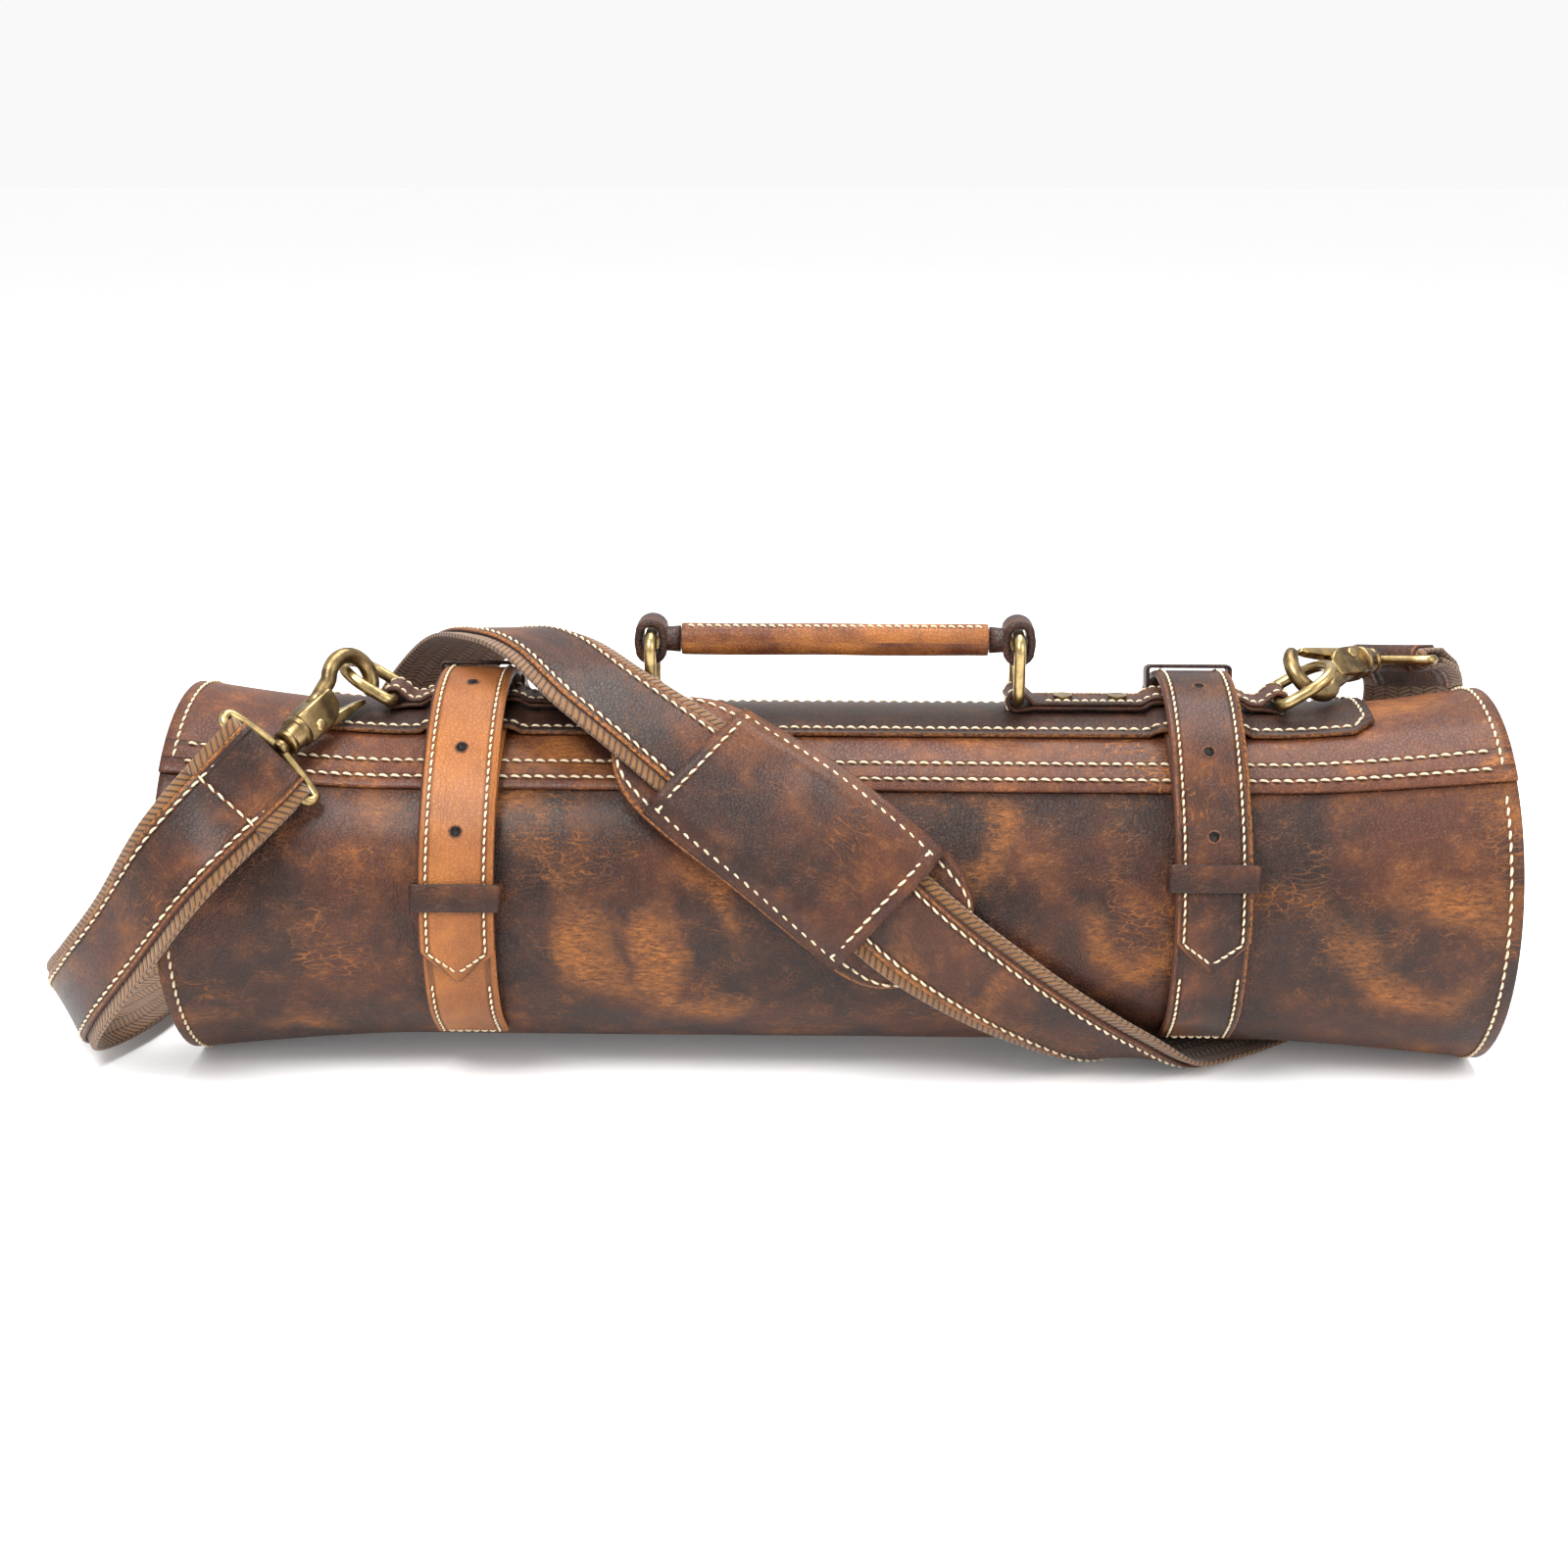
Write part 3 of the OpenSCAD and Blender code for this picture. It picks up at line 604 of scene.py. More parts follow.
def rolled_sheet(name, length, inset, thick, turns, finish, slot):
    """A sheet rolled up inside, open at both ends of the case."""
    def at(turn, x, k):
        a = CLOSING + 8 + turn * 360
        wave = 0.35 * np.sin(turn * 23 + x / 60)
        r = ROLL_R - LEATHER - inset - TURN_PITCH * (a - CLOSING) / 360 + k + wave
        a = np.radians(a)
        return np.stack([x, -r * math.cos(a) + 0 * x, AXIS_Z + r * math.sin(a)], -1)

    piece = slab(name, at, np.linspace(0, turns, int(turns * 56)), length / 2 - 0.5, 0.3,
                 thick - 0.3, finish, 12)
    return place(piece, "roll", [name], slot)


def end_rows(sewing, a0, a1, k):
    """Stitches round both ends of the roll, from one angle to another."""
    for side in (-1, 1):
        angles = np.linspace(a0, a1, 80)
        x = side * (HALF_L - 4.6)
        sewing.row(skin(np.full(80, x), angles, k), outward(angles), *ROLL_SEAM)


def roll(kit, sewing):
    panel("upper_panel", LIP, CLOSING - 1, 0.1, LEATHER, kit["upper"], "tan_leather")
    panel("lower_panel", CLOSING - 359, LIP + 6, -LEATHER, 0, kit["lower"], "dark_leather")
    rolled_sheet("inner_wrap", 464, 3.2, 2.6, 2.9, kit["suede"], "suede")
    rolled_sheet("pocket_panel", 444, 6.2, 2.4, 2.6, kit["cloth"], "lining")
    rolled_sheet("cover_flap", 454, 8.2, 1.4, 2.3, kit["flap"], "suede")
    xs = np.linspace(-HALF_L + 8, HALF_L - 8, 240)
    for arc in (4.5, 11.5):
        angle = LIP + arc * 180 / math.pi / ROLL_R
        sewing.row(skin(xs, angle, LEATHER), outward(np.full(240, angle)), *ROLL_SEAM)
    end_rows(sewing, LIP + 5, CLOSING - 6, LEATHER)
    end_rows(sewing, LIP - 4, -72, 0.0)
    end_rows(sewing, -108, CLOSING - 356, 0.0)


PATCH_HALF_L = 195.0
PATCH_HALF = 20.0
PATCH_K = LEATHER + 0.3
CLIMB = ((BELT_X - 19, 0), (BELT_X - 14.5, 1), (BELT_X + 14.5, 1), (BELT_X + 19, 0))


def patch_lift(x):
    return PATCH_K + 2.5 * np.array([through(CLIMB, abs(v)) for v in np.atleast_1d(x)])


def top_patch(kit, sewing):
    per_mm = 180 / math.pi / (ROLL_R + PATCH_K)
    half = PATCH_HALF / per_mm

    def wide(x):
        return 1 - 0.3 * max(0, (abs(x) - PATCH_HALF_L + 8) / 8)

    def at(x, arc, k):
        return skin(np.full_like(arc, x), 90 - arc * per_mm, k + patch_lift(x)[0])

    xs = np.concatenate([[-PATCH_HALF_L], np.linspace(-PATCH_HALF_L + 1, PATCH_HALF_L - 1, 170),
                         [PATCH_HALF_L]])
    piece = slab("top_patch", at, xs, half, 0.0, 1.8, kit["patch"], 17, narrow=wide)
    place(piece, "roll", ["top_patch"], "dark_leather")
    inset = 3.4
    edge = PATCH_HALF - inset * per_mm
    end = PATCH_HALF_L - inset
    for sign in (-1, 1):
        xs = np.linspace(-end + 5, end - 5, 200)
        lift = patch_lift(xs) + 1.8
        sewing.row(skin(xs, 90 + sign * edge, lift),
                   outward(np.full(200, 90 + sign * edge)), *PATCH_SEAM)
        corner = 0.72 * edge
        angles = np.linspace(90 - corner, 90 + corner, 20)
        sewing.row(skin(np.full(20, sign * end), angles, PATCH_K + 1.8), outward(angles), *PATCH_SEAM)
        for s in (-1, 1):
            xs = np.linspace(sign * (end - 4), sign * (end - 0.6), 5)
            angles = np.linspace(90 + s * edge, 90 + s * corner, 5)
            sewing.row(skin(xs, angles, PATCH_K + 1.8), outward(angles), *PATCH_SEAM)


# ---- belts, keepers and buckles ------------------------------------------------

BASE = ((-50, ROLL_R + 0.3), (-25, 65), (38, 65), (62, UPPER_R + 0.2), (112, UPPER_R + 0.2),
        (121, UPPER_R + 4), (125, UPPER_R + 4))
TAIL = ((-30, 67.5), (35, 67.5), (92, UPPER_R + 12.4), (124, UPPER_R + 10.5),
        (143, UPPER_R + 2.2), (170, UPPER_R + 0.4), (230, UPPER_R + 0.4))


def belt(kit, sewing, side, s):
    finish = kit["belt_" + side]
    slot = "tan_leather" if s < 0 else "dark_leather"
    tip = -15.3 if s < 0 else -10.5

    def follow(knots):
        def at(a, x, k):
            r = through(knots, a) + k
            t = math.radians(a)
            return np.stack([s * BELT_X + x, -r * math.cos(t), AXIS_Z + r * math.sin(t)], -1)
        return at

    def edge_point(knots, a, x, k):
        return follow(knots)(a, np.array([x]), np.array([k]))[0]

    def point(a):
        return float(np.clip((a - tip) / 9.8, 0.04, 1)) ** 0.85

    base = slab("belt_base_" + side, follow(BASE), np.linspace(-50, 125, 90), BELT_W / 2 - 0.3,
                0.0, 2.2, finish)
    place(base, "roll", ["belt_base_" + side], slot)
    angles = np.concatenate([np.linspace(tip, tip + 12, 26), np.linspace(tip + 12, 228, 120)[1:]])
    tail = slab("belt_tail_" + side, follow(TAIL), angles, BELT_W / 2, 0.0, 2.6, finish, 13,
                narrow=point)
    place(tail, "roll", ["belt_tail_" + side], slot)
    inset = 3.3
    for e in (-1, 1):
        edge = e * (BELT_W / 2 - inset)
        for knots, a0, a1, k in ((TAIL, tip + 9.5, 226, 2.6), (BASE, -48.5, tip - 3, 2.2)):
            angles = np.linspace(a0, a1, 150)
            line = [edge_point(knots, a, edge, k) for a in angles]
            sewing.row(line, outward(angles), *BELT_SEAM)
        angles = np.linspace(tip + 9.5, tip + 3.6, 6)
        line = [edge_point(TAIL, a, edge * (a - tip - 3.2) / 6.3, 2.6) for a in angles]
        sewing.row(line, outward(angles), *BELT_SEAM)
    xs = np.linspace(-BELT_W / 2 + 4.5, BELT_W / 2 - 4.5, 6)
    sewing.row([edge_point(BASE, -47.5, x, 2.2) for x in xs],
               outward(np.full(6, -47.5)), *BELT_SEAM)
    for index, a in enumerate((30, 56, 82)):
        per_mm = 180 / math.pi / (through(TAIL, a) + 2.6)
        turn = np.arange(20) * math.pi / 10

        def circle(r, k):
            return [edge_point(TAIL, a + r * math.sin(t) * per_mm, r * math.cos(t), 2.6 + k)
                    for t in turn]

        rim = tube("hole_rim_%s_%d" % (side, index), circle(2.2, -0.1), 0.36, kit["prick"],
                   True, 8)
        place(rim, "roll")
        # painted shade: a near-black disc on the belt stands in for the shade inside each punched hole
        hole_shade_disc = loft("hole_%s_%d" % (side, index), [circle(2.1, 0.08), circle(1.2, 0.06),
                                                   circle(0.3, 0.05)], range(20), kit["hole"])
        place(hole_shade_disc, "roll")


def oblong(w, h, corner, steps=9, gap=2.0):
    """Points round a rounded oblong, each with the way out from it."""
    points = []
    for cx, cy, start in ((w / 2 - corner, h / 2 - corner, 0), (-w / 2 + corner, h / 2 - corner, 90),
                          (-w / 2 + corner, -h / 2 + corner, 180),
                          (w / 2 - corner, -h / 2 + corner, 270)):
        for a in np.radians(np.linspace(start, start + 90, steps)):
            out = np.array([math.cos(a), math.sin(a)])
            points.append(np.concatenate([np.array([cx, cy]) + corner * out, out]))
    full = []
    for p, q in zip(points, points[1:] + points[:1]):
        parts = max(1, int(math.hypot(*(q - p)[:2]) / gap))
        full += [p + (q - p) * i / parts for i in range(parts)]
    return full


def keeper(kit, name, s, angle, wide, r0, r1, body):
    """Leather loop round a belt: a strip that runs round a rounded oblong."""
    t = KEEPER_T
    full = oblong(wide - t, r1 - r0 + t, 1.4, 6, 2.5)
    mid = (r0 + r1) / 2

    def at(i, arc, k):
        px, pr, nx, nr = full[i]
        a = np.radians(angle - arc / r1 * 180 / math.pi)
        r = mid + pr + nr * k
        return np.stack([s * BELT_X + px + nx * k, -r * np.cos(a), AXIS_Z + r * np.sin(a)], -1)

    piece = slab(name, at, range(len(full)), KEEPER_W / 2, -t / 2, t / 2, kit["trim"], 7, True)
    return place(piece, body, [name], "dark_leather")


def buckles(kit):
    for side in ("left", "right"):
        for node, finish in (("buckle_frame_", "brass"), ("buckle_prong_", "cast")):
            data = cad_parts[node + side].data
            data.materials.clear()
            data.materials.append(kit[finish])


# ---- ring straps, rings and grip -----------------------------------------------

def strap_over(kit, sewing, side, s):
    """The doubled strap: round the handle ring's bar, over the belt, round the D-ring's bar."""
    z0 = RING_STRAP_Z
    hump = 2.5
    h = [(BELT_X - 20.5, 0), (BELT_X - 15, 1), (BELT_X + 15, 1), (BELT_X + 20.5, 0)]
    path = []
    for x in np.linspace(RING_X + 6, D_RING_X - 6, 46):
        path.append((x, z0 + 2.55 + hump * through(h, x)))
    for a in np.radians(np.linspace(120, -90, 14)):
        path.append((D_RING_X + 3.5 * math.cos(a), BAR_Z + 3.5 * math.sin(a)))
    for x in np.linspace(D_RING_X - 6, RING_X + 6, 46):
        path.append((x, z0 + 0.85 + hump * through(h, x)))
    for a in np.radians(np.linspace(270, 60, 14)):
        path.append((RING_X + 3.5 * math.cos(a), BAR_Z + 3.5 * math.sin(a)))
    path = np.array(path)
    ahead = unit(np.roll(path, -1, 0) - np.roll(path, 1, 0))
    up = np.stack([-ahead[:, 1], ahead[:, 0]], 1)

    def at(i, y, k):
        x = path[i][0] + up[i][0] * k
        z = path[i][1] + up[i][1] * k
        return np.stack([s * x + 0 * y, -s * y, z + 0 * y], -1)

    piece = slab("ring_strap_" + side, at, range(len(path)), 7.5, -0.8, 0.8, kit["trim"], 7, True)
    place(piece, "roll", ["ring_strap_" + side], "dark_leather")
    for e in (-1, 1):
        for part in (path[2:60], path[108:120]):
            index = [int(np.argmin(np.abs(path - p).sum(1))) for p in part]
            line = [(s * (path[i][0] + up[i][0] * 0.8), e * 5.6, path[i][1] + up[i][1] * 0.8)
                    for i in index]
            normal = [(s * up[i][0], 0, up[i][1]) for i in index]
            sewing.row(line, normal, *TRIM_SEAM)
    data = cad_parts["rivets_" + side].data
    data.materials.clear()
    data.materials.append(kit["brass"])


def rings(kit):
    for side, s in SIDES:
        line = [(s * RING_X, p[0], BAR_Z + RING_H / 2 + p[1]) for p in
                oblong(RING_W, RING_H, 5)]
        ring = tube("handle_ring_" + side, line, WIRE_R - 0.02, kit["brass"], True, 18)
        place(ring, "handle_ring_" + side, ["handle_ring_" + side], "old_brass")
        out = np.array([s * math.cos(math.radians(31.5)), 0, math.sin(math.radians(31.5))])
        line = [(y, 0.0) for y in np.linspace(-9.5, 9.5, 9)]
        line += [(9.5 + 3 * math.sin(a), 3 - 3 * math.cos(a)) for a in np.radians((20, 45, 70))]
        line += [(12.5, k) for k in (3, 5, 7, 9)]
        line += [(12.5 * math.cos(a), 10 + 12.5 * math.sin(a))
                 for a in np.radians(np.linspace(0, 180, 29))]
        line += [(-12.5, k) for k in (9, 7, 5, 3)]
        line += [(-9.5 - 3 * math.sin(a), 3 - 3 * math.cos(a)) for a in np.radians((70, 45, 20))]
        line = [np.array([s * D_RING_X, y, BAR_Z]) + out * k for y, k in line]
        ring = tube("d_ring_" + side, line, WIRE_R - 0.02, kit["brass"], True, 18)
        place(ring, "d_ring_" + side, ["d_ring_" + side], "old_brass")


def grip(kit, sewing):
    half = 56.0
    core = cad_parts["handle_core"].data
    core.materials.clear()
    core.materials.append(kit["rope"])
    turn = np.arange(40) * math.pi / 20
    rings_out = []
    for x, r in ((-half, 3.6), (-half, 5.6), (-half + 0.5, 5.95)):
        rings_out.append((x, r))
    for x in np.linspace(-half + 2, half - 2, 60):
        rings_out.append((x, 6.0))
    rings_out += [(half - 0.5, 5.95), (half, 5.6), (half, 3.6)]
    skin_rings = []
    for x, r in rings_out:
        uneven = r - 0.10 * (1 + np.sin(turn * 3 + x / 9)) * (r > 5.8)
        pinch = np.exp(-((turn - 1.9) / 0.16) ** 2) * 0.35 * (r > 5.8)
        radius = uneven - pinch
        skin_rings.append(np.stack([np.full(40, x), -radius * np.cos(turn),
                                    GRIP_Z + radius * np.sin(turn)], -1))
    piece = loft("handle_grip", skin_rings, list(turn * 6), kit["grip"])
    place(piece, "handle", ["handle_grip"], "tan_leather")
    xs = np.linspace(-half + 2, half - 2, 60)
    for a in (66,):
        n = outward(a)
        line = [(x, n[1] * 5.85, GRIP_Z + n[2] * 5.85) for x in xs]
        sewing.row(line, np.tile(n, (60, 1)), *GRIP_SEAM, 0.3)
    for side, s in SIDES:
        path = []
        for a in np.radians(np.linspace(150, 30, 9)):
            path.append((4.6 * math.cos(a), 2.4 + 4.6 * math.sin(a)))
        for z in (0.8, -0.8):
            path.append((4.6, z))
        for a in np.radians(np.linspace(-30, -150, 9)):
            path.append((4.6 * math.cos(a), -2.4 + 4.6 * math.sin(a)))
        for z in (-0.8, 0.8):
            path.append((-4.6, z))
        path = np.array(path)
        ahead = unit(np.roll(path, -1, 0) - np.roll(path, 1, 0))
        up = np.stack([-ahead[:, 1], ahead[:, 0]], 1)

        def at(i, y, k):
            x = path[i][0] + up[i][0] * k
            z = path[i][1] + up[i][1] * k
            return np.stack([s * RING_X + x + 0 * y, y, GRIP_Z + z + 0 * y], -1)

        piece = slab("handle_loop_" + side, at, range(len(path)), 6.9, -1.5, 1.5, kit["trim"],
                     7, True)
        place(piece, "handle", ["handle_loop_" + side], "dark_leather")
        neck = []
        for x, w, h in ((4.0, 6.6, 4.4), (6.0, 6.6, 4.4), (8.0, 6.4, 4.6), (10.5, 5.2, 4.9)):
            ring = [(w * math.cos(a), h * math.sin(a)) for a in turn]
            neck.append([(s * (RING_X - x), y, GRIP_Z + z) for y, z in ring])
        if s < 0:
            neck = neck[::-1]
        place(loft("handle_neck_" + side, neck, list(turn * 5), kit["trim"]), "handle")


# ---- snap hooks ----------------------------------------------------------------

HOOKS = {"left": ((-194.1, -44.4, 127), (20.2, 35.6, 16.1), (0.78, -0.56, 0.26)),
         "right": ((204.2, 34.5, 140.6), (-31.9, -30.2, 3), (0.53, -0.49, 0.69))}
EYE_TURN = {"left": -25, "right": 55}


def hook_frame(side):
    start, axis, middle = [np.array(v, float) for v in HOOKS[side]]
    z = unit(axis)
    x = unit(np.cross(middle, z))
    return start, x, np.cross(z, x), z


def turned(name, profile, at, finish, sides=28):
    """A round piece: profile is a list of (height, radius)."""
    turn = np.arange(sides) * 2 * math.pi / sides
    made = [at(np.stack([r * np.cos(turn), r * np.sin(turn), np.full(sides, z)], -1))
            for z, r in profile]
    return loft(name, made, list(turn * 4), finish)


def hook(kit, side):
    start, x, y, z = hook_frame(side)
    body = "hook_" + side

    def at(points):
        points = np.atleast_2d(np.asarray(points, float))
        return start + points[:, :1] * x + points[:, 1:2] * y + points[:, 2:3] * z

    collar = turned("hook_collar_" + side,
                    [(0, 2.7), (0, 4.3), (0.4, 4.9), (1.6, 5.1), (2.0, 4.5), (2.7, 4.5), (3.1, 5.1),
                     (6.2, 5.1), (6.6, 5.6), (7.0, 6.1), (8.6, 6.15), (9.0, 5.6), (9.1, 3.0)],
                    at, kit["cast"])
    place(collar, body, ["hook_body_" + side], "old_brass")
    corners = oblong(12.0, 8.3, 1.3)
    block = []
    for h, wide, shift in ((8.9, 0.85, 0), (9.4, 0.97, 0), (14, 1.0, 0), (20, 1.0, 0),
                           (24, 0.9, 0.5), (26.6, 0.72, 1.4), (27.6, 0.6, 1.9)):
        block.append(at([(p[0] * wide + shift, p[1] * (0.4 + 0.6 * wide), h) for p in corners]))
    marks = list(np.linspace(0, 36, len(corners)))
    place(loft("hook_block_" + side, block, marks, kit["cast"]), body)
    line, radius = [], []
    for h, px in ((19, 3.6), (23, 4.4), (27, 5.6), (30, 6.4)):
        line.append((px, 0, h))
        radius.append(3.0)
    for a in np.radians(np.linspace(-50, 150, 26)):
        line.append((0.5 + 10 * math.cos(a), 0, 39 + 10 * math.sin(a)))
        radius.append(2.95 if a < 2.2 else 2.95 - (a - 2.2) * 1.1)
    place(tube("hook_nose_" + side, at(line), radius, kit["cast"], sides=18, flat=y), body)
    for e in (-1, 1):
        head = [(p[0] - 2.5, e * p[2], p[1] + 15) for p in
                [(r * math.cos(t), r * math.sin(t), h) for h, r in
                 ((4.0, 2.3), (4.5, 2.2), (4.75, 1.6), (4.8, 0.5))
                 for t in np.arange(20) * math.pi / 10]]
        rows = np.array(at(head)).reshape(4, 20, 3)
        if e > 0:
            rows = rows[:, ::-1]
        place(loft("hook_pin_head_%s_%d" % (side, e + 1), rows, range(20), kit["brass"]), body)
    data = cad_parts["gate_pin_" + side].data
    data.materials.clear()
    data.materials.append(kit["cast"])
    gate = []
    for h, px, w, t in ((13.0, -3.0, 2.1, 1.9), (16, -4.3, 2.1, 2.1), (22, -5.2, 2.1, 2.0),
                        (30, -6.4, 2.1, 1.7), (36.5, -7.6, 1.9, 1.2), (39.4, -8.3, 1.5, 0.8)):
        gate.append(at([(px + q[0] * t, q[1] * w, h) for q in oblong(2, 2, 0.35)]))
    marks = list(np.linspace(0, 8, len(gate[0])))
    gate = loft("hook_gate_" + side, gate, marks, kit["brass"])
    place(gate, "gate_" + side, ["hook_gate_" + side], "old_brass")

    t = math.radians(EYE_TURN[side])
    bar = x * math.cos(t) + y * math.sin(t)
    half = 21.5

    def eye_at(across, height):
        return start + bar * across + z * height

    line = [eye_at(v, -11) for v in np.linspace(-half + 3, half - 3, 20)]
    for sign in (1, -1):
        arm = []
        for a in np.radians(np.linspace(-90, 50, 9)):
            arm.append((half - 3 + 2.6 * math.cos(a), -8.4 + 2.6 * math.sin(a)))
        arm += [(15.0, -5.1), (9.5, -4.3), (4.5, -3.4), (0, -2.6)]
        arm = arm if sign > 0 else [(-v, h) for v, h in arm[::-1]]
        line += [eye_at(v, h) for v, h in (arm if sign > 0 else arm[1:])]
    eye = tube("swivel_eye_" + side, line, 1.85, kit["brass"], True, 14, y)
    place(eye, "roll", ["swivel_eye_" + side], "old_brass")
    post = turned("swivel_post_" + side, [(-4.4, 1.2), (-4.2, 2.8), (-3.4, 3.3), (-1.6, 3.3),
                                          (-0.7, 2.8), (-0.4, 2.3), (-0.1, 2.3)],
                  at, kit["cast"])
    place(post, "roll")
    return start - z * 11, bar


# ---- shoulder strap ------------------------------------------------------------

def wrapped(x, a, r):
    """A route point lying on the roll."""
    t = math.radians(a)
    return ((x, -r * math.cos(t), AXIS_Z + r * math.sin(t)), (0, -math.cos(t), math.sin(t)))


ROUTE = (
    ((-202, -55.3, 120), (0.24, -0.89, 0.35)),
    ((-228, -74, 94), (-0.2, -0.85, 0.4)),
    ((-252, -68, 62), (-0.5, -0.8, 0.3)),
    ((-272, -54, 37), (-0.7, -0.65, 0)),
    ((-283, -31, 20), (-0.8, -0.2, -0.55)),
    ((-277, -3, 9), (-0.2, 0.1, -0.97)),
    ((-268, 29, 6), (0, 0.15, -0.98)),
    ((-238, 62, 16), (-0.1, 0.6, -0.8)),
    ((-210, 84, 42), (-0.1, 0.97, -0.3)),
    ((-186, 88, 78), (-0.1, 0.99, 0.1)),
    ((-164, 76, 115), (-0.1, 0.8, 0.6)),
    ((-142, 50, 143), (-0.1, 0.5, 0.85)),
    ((-122, 20, 153), (-0.05, 0.2, 0.98)),
    wrapped(-104, 88, 88), wrapped(-84, 72, 83), wrapped(-60, 59, 75.5),
    wrapped(-38, 46, 70.2), wrapped(-15, 32, 68.8), wrapped(8, 16, 68.8), wrapped(31, -1, 68.4),
    wrapped(54, -17, 66.6), wrapped(77, -33, 66.4), wrapped(100, -49, 67.6),
    ((121, -27, 4.6), (0, -0.1, -1)),
    ((140, -12, 2.5), (0, 0, -1)),
    ((160, 4, 2.4), (0, 0, -1)),
    ((180, 22, 2.4), (0, 0, -1)),
    ((196, 42, 5), (0, 0.2, -0.98)),
    ((207, 62, 14), (0, 0.7, -0.7)),
    ((215, 77, 36), (0.1, 0.95, -0.3)),
    ((223, 84, 66), (0.1, 1, 0)),
    ((228, 83, 86), (0.12, 0.97, 0.2)),
    ((230, 76, 105), (0.15, 0.9, 0.4)),
    ((229, 66, 122), (0.15, 0.7, 0.7)),
    ((224, 55, 133), (0.05, 0.4, 0.9)),
    ((216.4, 46.1, 139.4), (-0.06, 0.16, 0.98)),
)
PLACES = np.array([r[0] for r in ROUTE], float)
FACES = np.array([r[1] for r in ROUTE], float)
LAST = len(ROUTE) - 1
STRAP_T = 3.8
PAD_MID = 17.0


def spline(knots, u):
    i = min(int(u), LAST - 1)
    t = u - i
    a, b, c, d = knots[max(i - 1, 0)], knots[i], knots[i + 1], knots[min(i + 2, LAST)]
    return 0.5 * (2 * b + (c - a) * t + (2 * a - 5 * b + 4 * c - d) * t * t
                  + (3 * b - a - 3 * c + d) * t ** 3)


def strap_frame(u):
    u = min(max(u, 0.0), float(LAST))
    ahead = unit(spline(PLACES, min(u + 0.01, LAST)) - spline(PLACES, max(u - 0.01, 0)))
    side = unit(np.cross(ahead, spline(FACES, u)))
    return spline(PLACES, u), side, np.cross(side, ahead)


def on_strap(u, across, k):
    p, side, face = strap_frame(u)
    return p + np.outer(across, side) + np.outer(k, face)


def strap_line(across, k, u0=0.0, u1=float(LAST), count=400):
    us = np.linspace(u0, u1, count)
    line = [on_strap(u, [across], [k])[0] for u in us]
    normal = [strap_frame(u)[2] for u in us]
    return line, normal


def strap_end(end, reach):
    """The strap's frame at a distance from one of its ends (0 the first, 1 the last)."""
    us = np.linspace(0, 2, 81)
    us = LAST - us if end else us
    line = np.array([spline(PLACES, u) for u in us])
    lengths = np.concatenate([[0], np.cumsum(np.linalg.norm(np.diff(line, axis=0), axis=1))])
    return strap_frame(float(np.interp(reach, lengths, us)))


def fold(name, end, bar_at, bar, finish, half, r, thick, sunk):
    """The strap's end where it goes round the eye's bar and is sewn to its own back."""
    p, side, face = strap_end(end, 0)
    bar = bar if np.dot(bar, side) > 0 else -bar
    away = unit(p - bar_at)
    up = unit(np.cross(away, bar))
    up = up if np.dot(up, face) > 0 else -up
    rows = []
    for reach in (16, 12, 8, 5, 2, 0.5):
        p, side, face = strap_end(end, reach)
        height = np.interp(reach, (0, 7, 12, 16), (r, sunk + 0.5, sunk, sunk - 0.5))
        rows.append((p + face * height, side, face))
    for a in np.radians(np.linspace(80, 280, 15)):
        out = away * math.cos(a) + up * math.sin(a)
        rows.append((bar_at + out * r, bar, out))
    for reach in (0.5, 2, 5, 9, 14, 19, 24):
        p, side, face = strap_end(end, reach)
        rows.append((p - face * np.interp(reach, (0, 6), (r, sunk + 0.7)), side, -face))

    def at(i, across, k):
        middle, side, out = rows[int(round(i))]
        return middle + np.outer(across, side) + np.outer(k, out)

    piece = slab(name, at, range(len(rows)), half, -thick / 2, thick / 2, finish, 7)
    return place(piece, "roll")


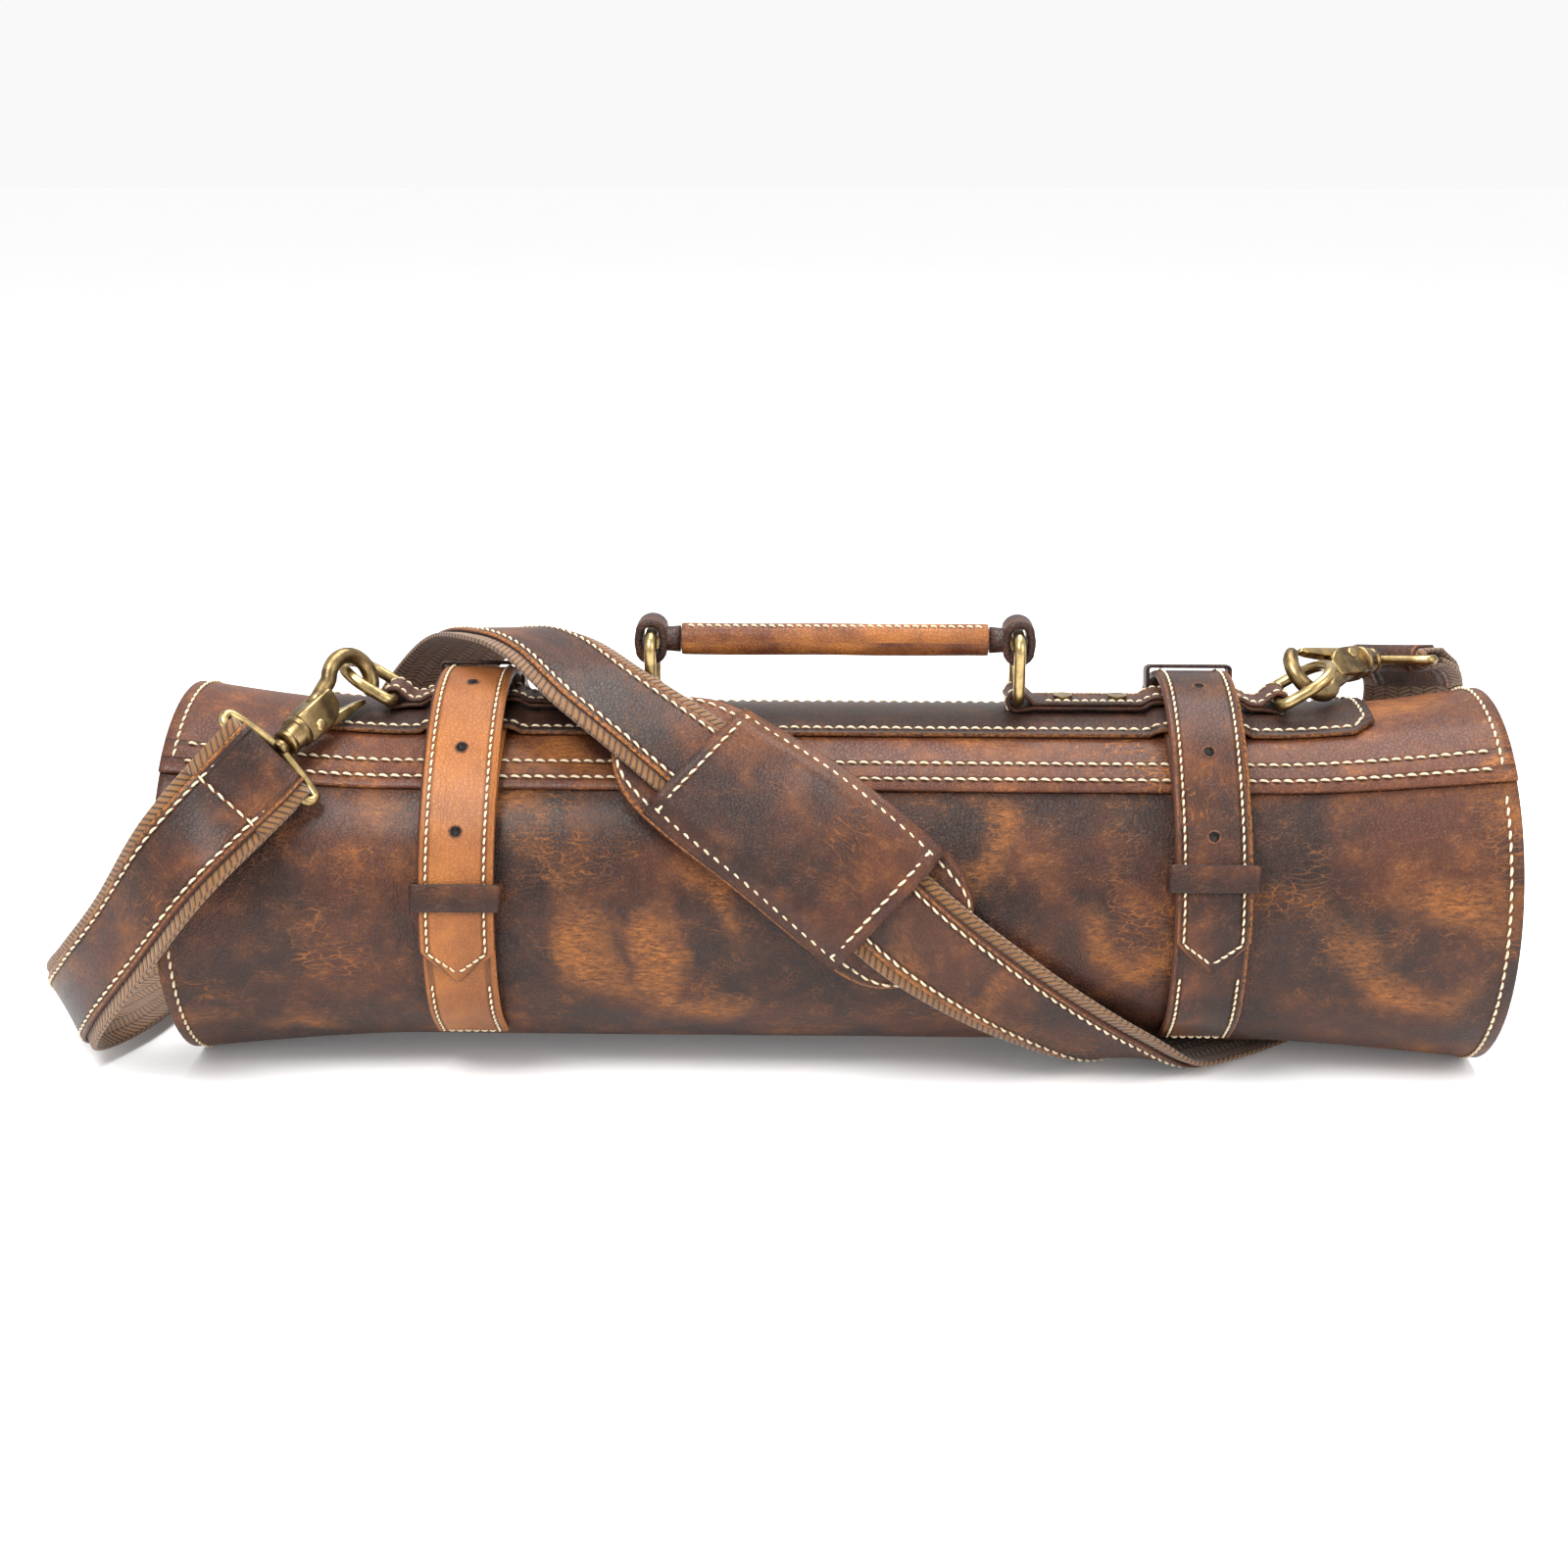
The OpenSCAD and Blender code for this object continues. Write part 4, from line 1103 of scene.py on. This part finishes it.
def shoulder_strap(kit, sewing):
    us = np.linspace(0, LAST, LAST * 9 + 1)
    top = STRAP_T / 2
    webbing = slab("strap_webbing", on_strap, us, 19.0, -top, top - 1.75, kit["braid"], 13)
    place(webbing, "roll", ["strap_webbing"], "webbing")
    strip = slab("strap_leather", on_strap, us, 14.5, top - 1.6, top, kit["strap"], 9)
    place(strip, "roll", ["strap_leather"], "dark_leather")
    for across in (-11.8, 11.8):
        line, normal = strap_line(across, top, 0.1, LAST - 0.1)
        sewing.row(line, normal, *STRAP_SEAM)

    def pad_width(u):
        end = 2.5 - abs(u - PAD_MID)
        return math.sqrt(max(0.02, 1 - max(0, 1 - end / 1.1) ** 2.4))

    us = np.concatenate([PAD_MID - 2.5 + 0.3 * np.linspace(0, 1, 12) ** 2,
                         np.linspace(PAD_MID - 2.15, PAD_MID + 2.15, 50),
                         PAD_MID + 2.5 - 0.3 * np.linspace(1, 0, 12) ** 2])
    base = slab("pad_base", on_strap, us, 29.0, -top - 3.2, -top - 0.4, kit["pad"], 13,
                narrow=pad_width)
    place(base, "roll", ["pad_base"], "suede")
    for sign in (-1, 1):
        line, normal = [], []
        for t in np.linspace(-1, 1, 60):
            a = t * 24.8
            u = PAD_MID + sign * (1.5 + 0.82 * (1 - abs(t) ** 5) ** 0.5)
            line.append(on_strap(u, [a], [-top - 0.4])[0])
            normal.append(strap_frame(u)[2])
        sewing.row(line, normal, *STRAP_SEAM)
    wide = 29.0
    us = np.linspace(PAD_MID - 1.5, PAD_MID + 1.5, 34)
    outline = []
    for across in np.linspace(-wide + 0.5, wide - 0.5, 35):
        edge = min(1, max(0, (wide - 0.5 - abs(across)) / 8.5))
        rise = edge * edge * (3 - 2 * edge)
        outline.append((across, -top + 1.3 + rise * (2 * top + 0.75)))
    under = [(a, k - 1.5) for a, k in outline[::-1]]
    section = np.array(outline[:1] + outline + under)
    section[0] = (-wide, section[1][1] - 0.75)
    marks = [section[0][0]]
    for a, b in zip(section, section[1:]):
        marks.append(marks[-1] + math.hypot(*(b - a)))
    made = []
    for u in us:
        made.append(on_strap(u, section[:, 0], section[:, 1]))
    sleeve = loft("pad_sleeve", made, marks, kit["strap_pad"])
    place(sleeve, "roll", ["pad_sleeve"], "dark_leather")
    for across in (-25.2, 25.2):
        line, normal = strap_line(across, -top + 2.2, PAD_MID - 1.45, PAD_MID + 1.45, 60)
        sewing.row(line, normal, *PAD_SEAM)
    for u in (PAD_MID - 1.36, PAD_MID + 1.36):
        face = strap_frame(u)[2]
        line = [on_strap(u, [a], [np.interp(abs(a), (0, 18, 27), (top + 2.1, top + 2.1, -top + 1.8))])[0]
                for a in np.linspace(-26, 26, 40)]
        sewing.row(line, np.tile(face, (40, 1)), *PAD_SEAM)
    path = np.array([spline(PLACES, u) for u in np.linspace(0, LAST, 281)])
    length = np.linalg.norm(np.diff(path, axis=0), axis=1).sum()
    return webbing, path, length


# ---- put it together -----------------------------------------------------------

def floor(kit):
    data = bpy.data.meshes.new("floor")
    data.from_pydata([(-9, -9, 0), (9, -9, 0), (9, 9, 0), (-9, 9, 0)], [], [(0, 1, 2, 3)])
    data.materials.append(kit["floor"])
    ground = bpy.data.objects.new("floor", data)
    bpy.context.collection.objects.link(ground)


def build():
    studio()
    kit = finishes()
    kit["strap_pad"] = leather("sleeve_leather", DARK, BROWN, TAN, 0.25, 0.35, wear=0.6)
    sewing = Sewing("roll")
    webbing, path, length = shoulder_strap(kit, sewing)
    floor(kit)
    roll(kit, sewing)
    top_patch(kit, sewing)
    for side, s in SIDES:
        belt(kit, sewing, side, s)
        strap_over(kit, sewing, side, s)
        keeper(kit, "front_keeper_" + side, s, 11 if s < 0 else 18, BELT_W + 5, 64.7, 70.4,
               "front_keeper_" + side)
        keeper(kit, "top_keeper_" + side, s, 103, BELT_W + 5, UPPER_R + 8.5, UPPER_R + 15.5,
               "roll")
        bar_at, bar = hook(kit, side)
        end = 0 if s < 0 else 1
        fold("strap_fold_" + side, end, bar_at, bar, kit["braid"], 18.8, 3.2, 1.6, 1.0)
        fold("leather_fold_" + side, end, bar_at, bar, kit["strap"], 14.4, 4.6, 1.2, 1.75)
        rows = [strap_end(end, 15)] * 12
        line = [p + across * a + face * 2.0 for (p, across, face), a in
                zip(rows, np.linspace(-13.5, 13.5, 12))]
        sewing.row(line, [face for p, across, face in rows], *STRAP_SEAM)
    buckles(kit)
    rings(kit)
    handle_sewing = Sewing("handle")
    grip(kit, handle_sewing)
    sewing.sew(kit)
    handle_sewing.sew(kit)


build()
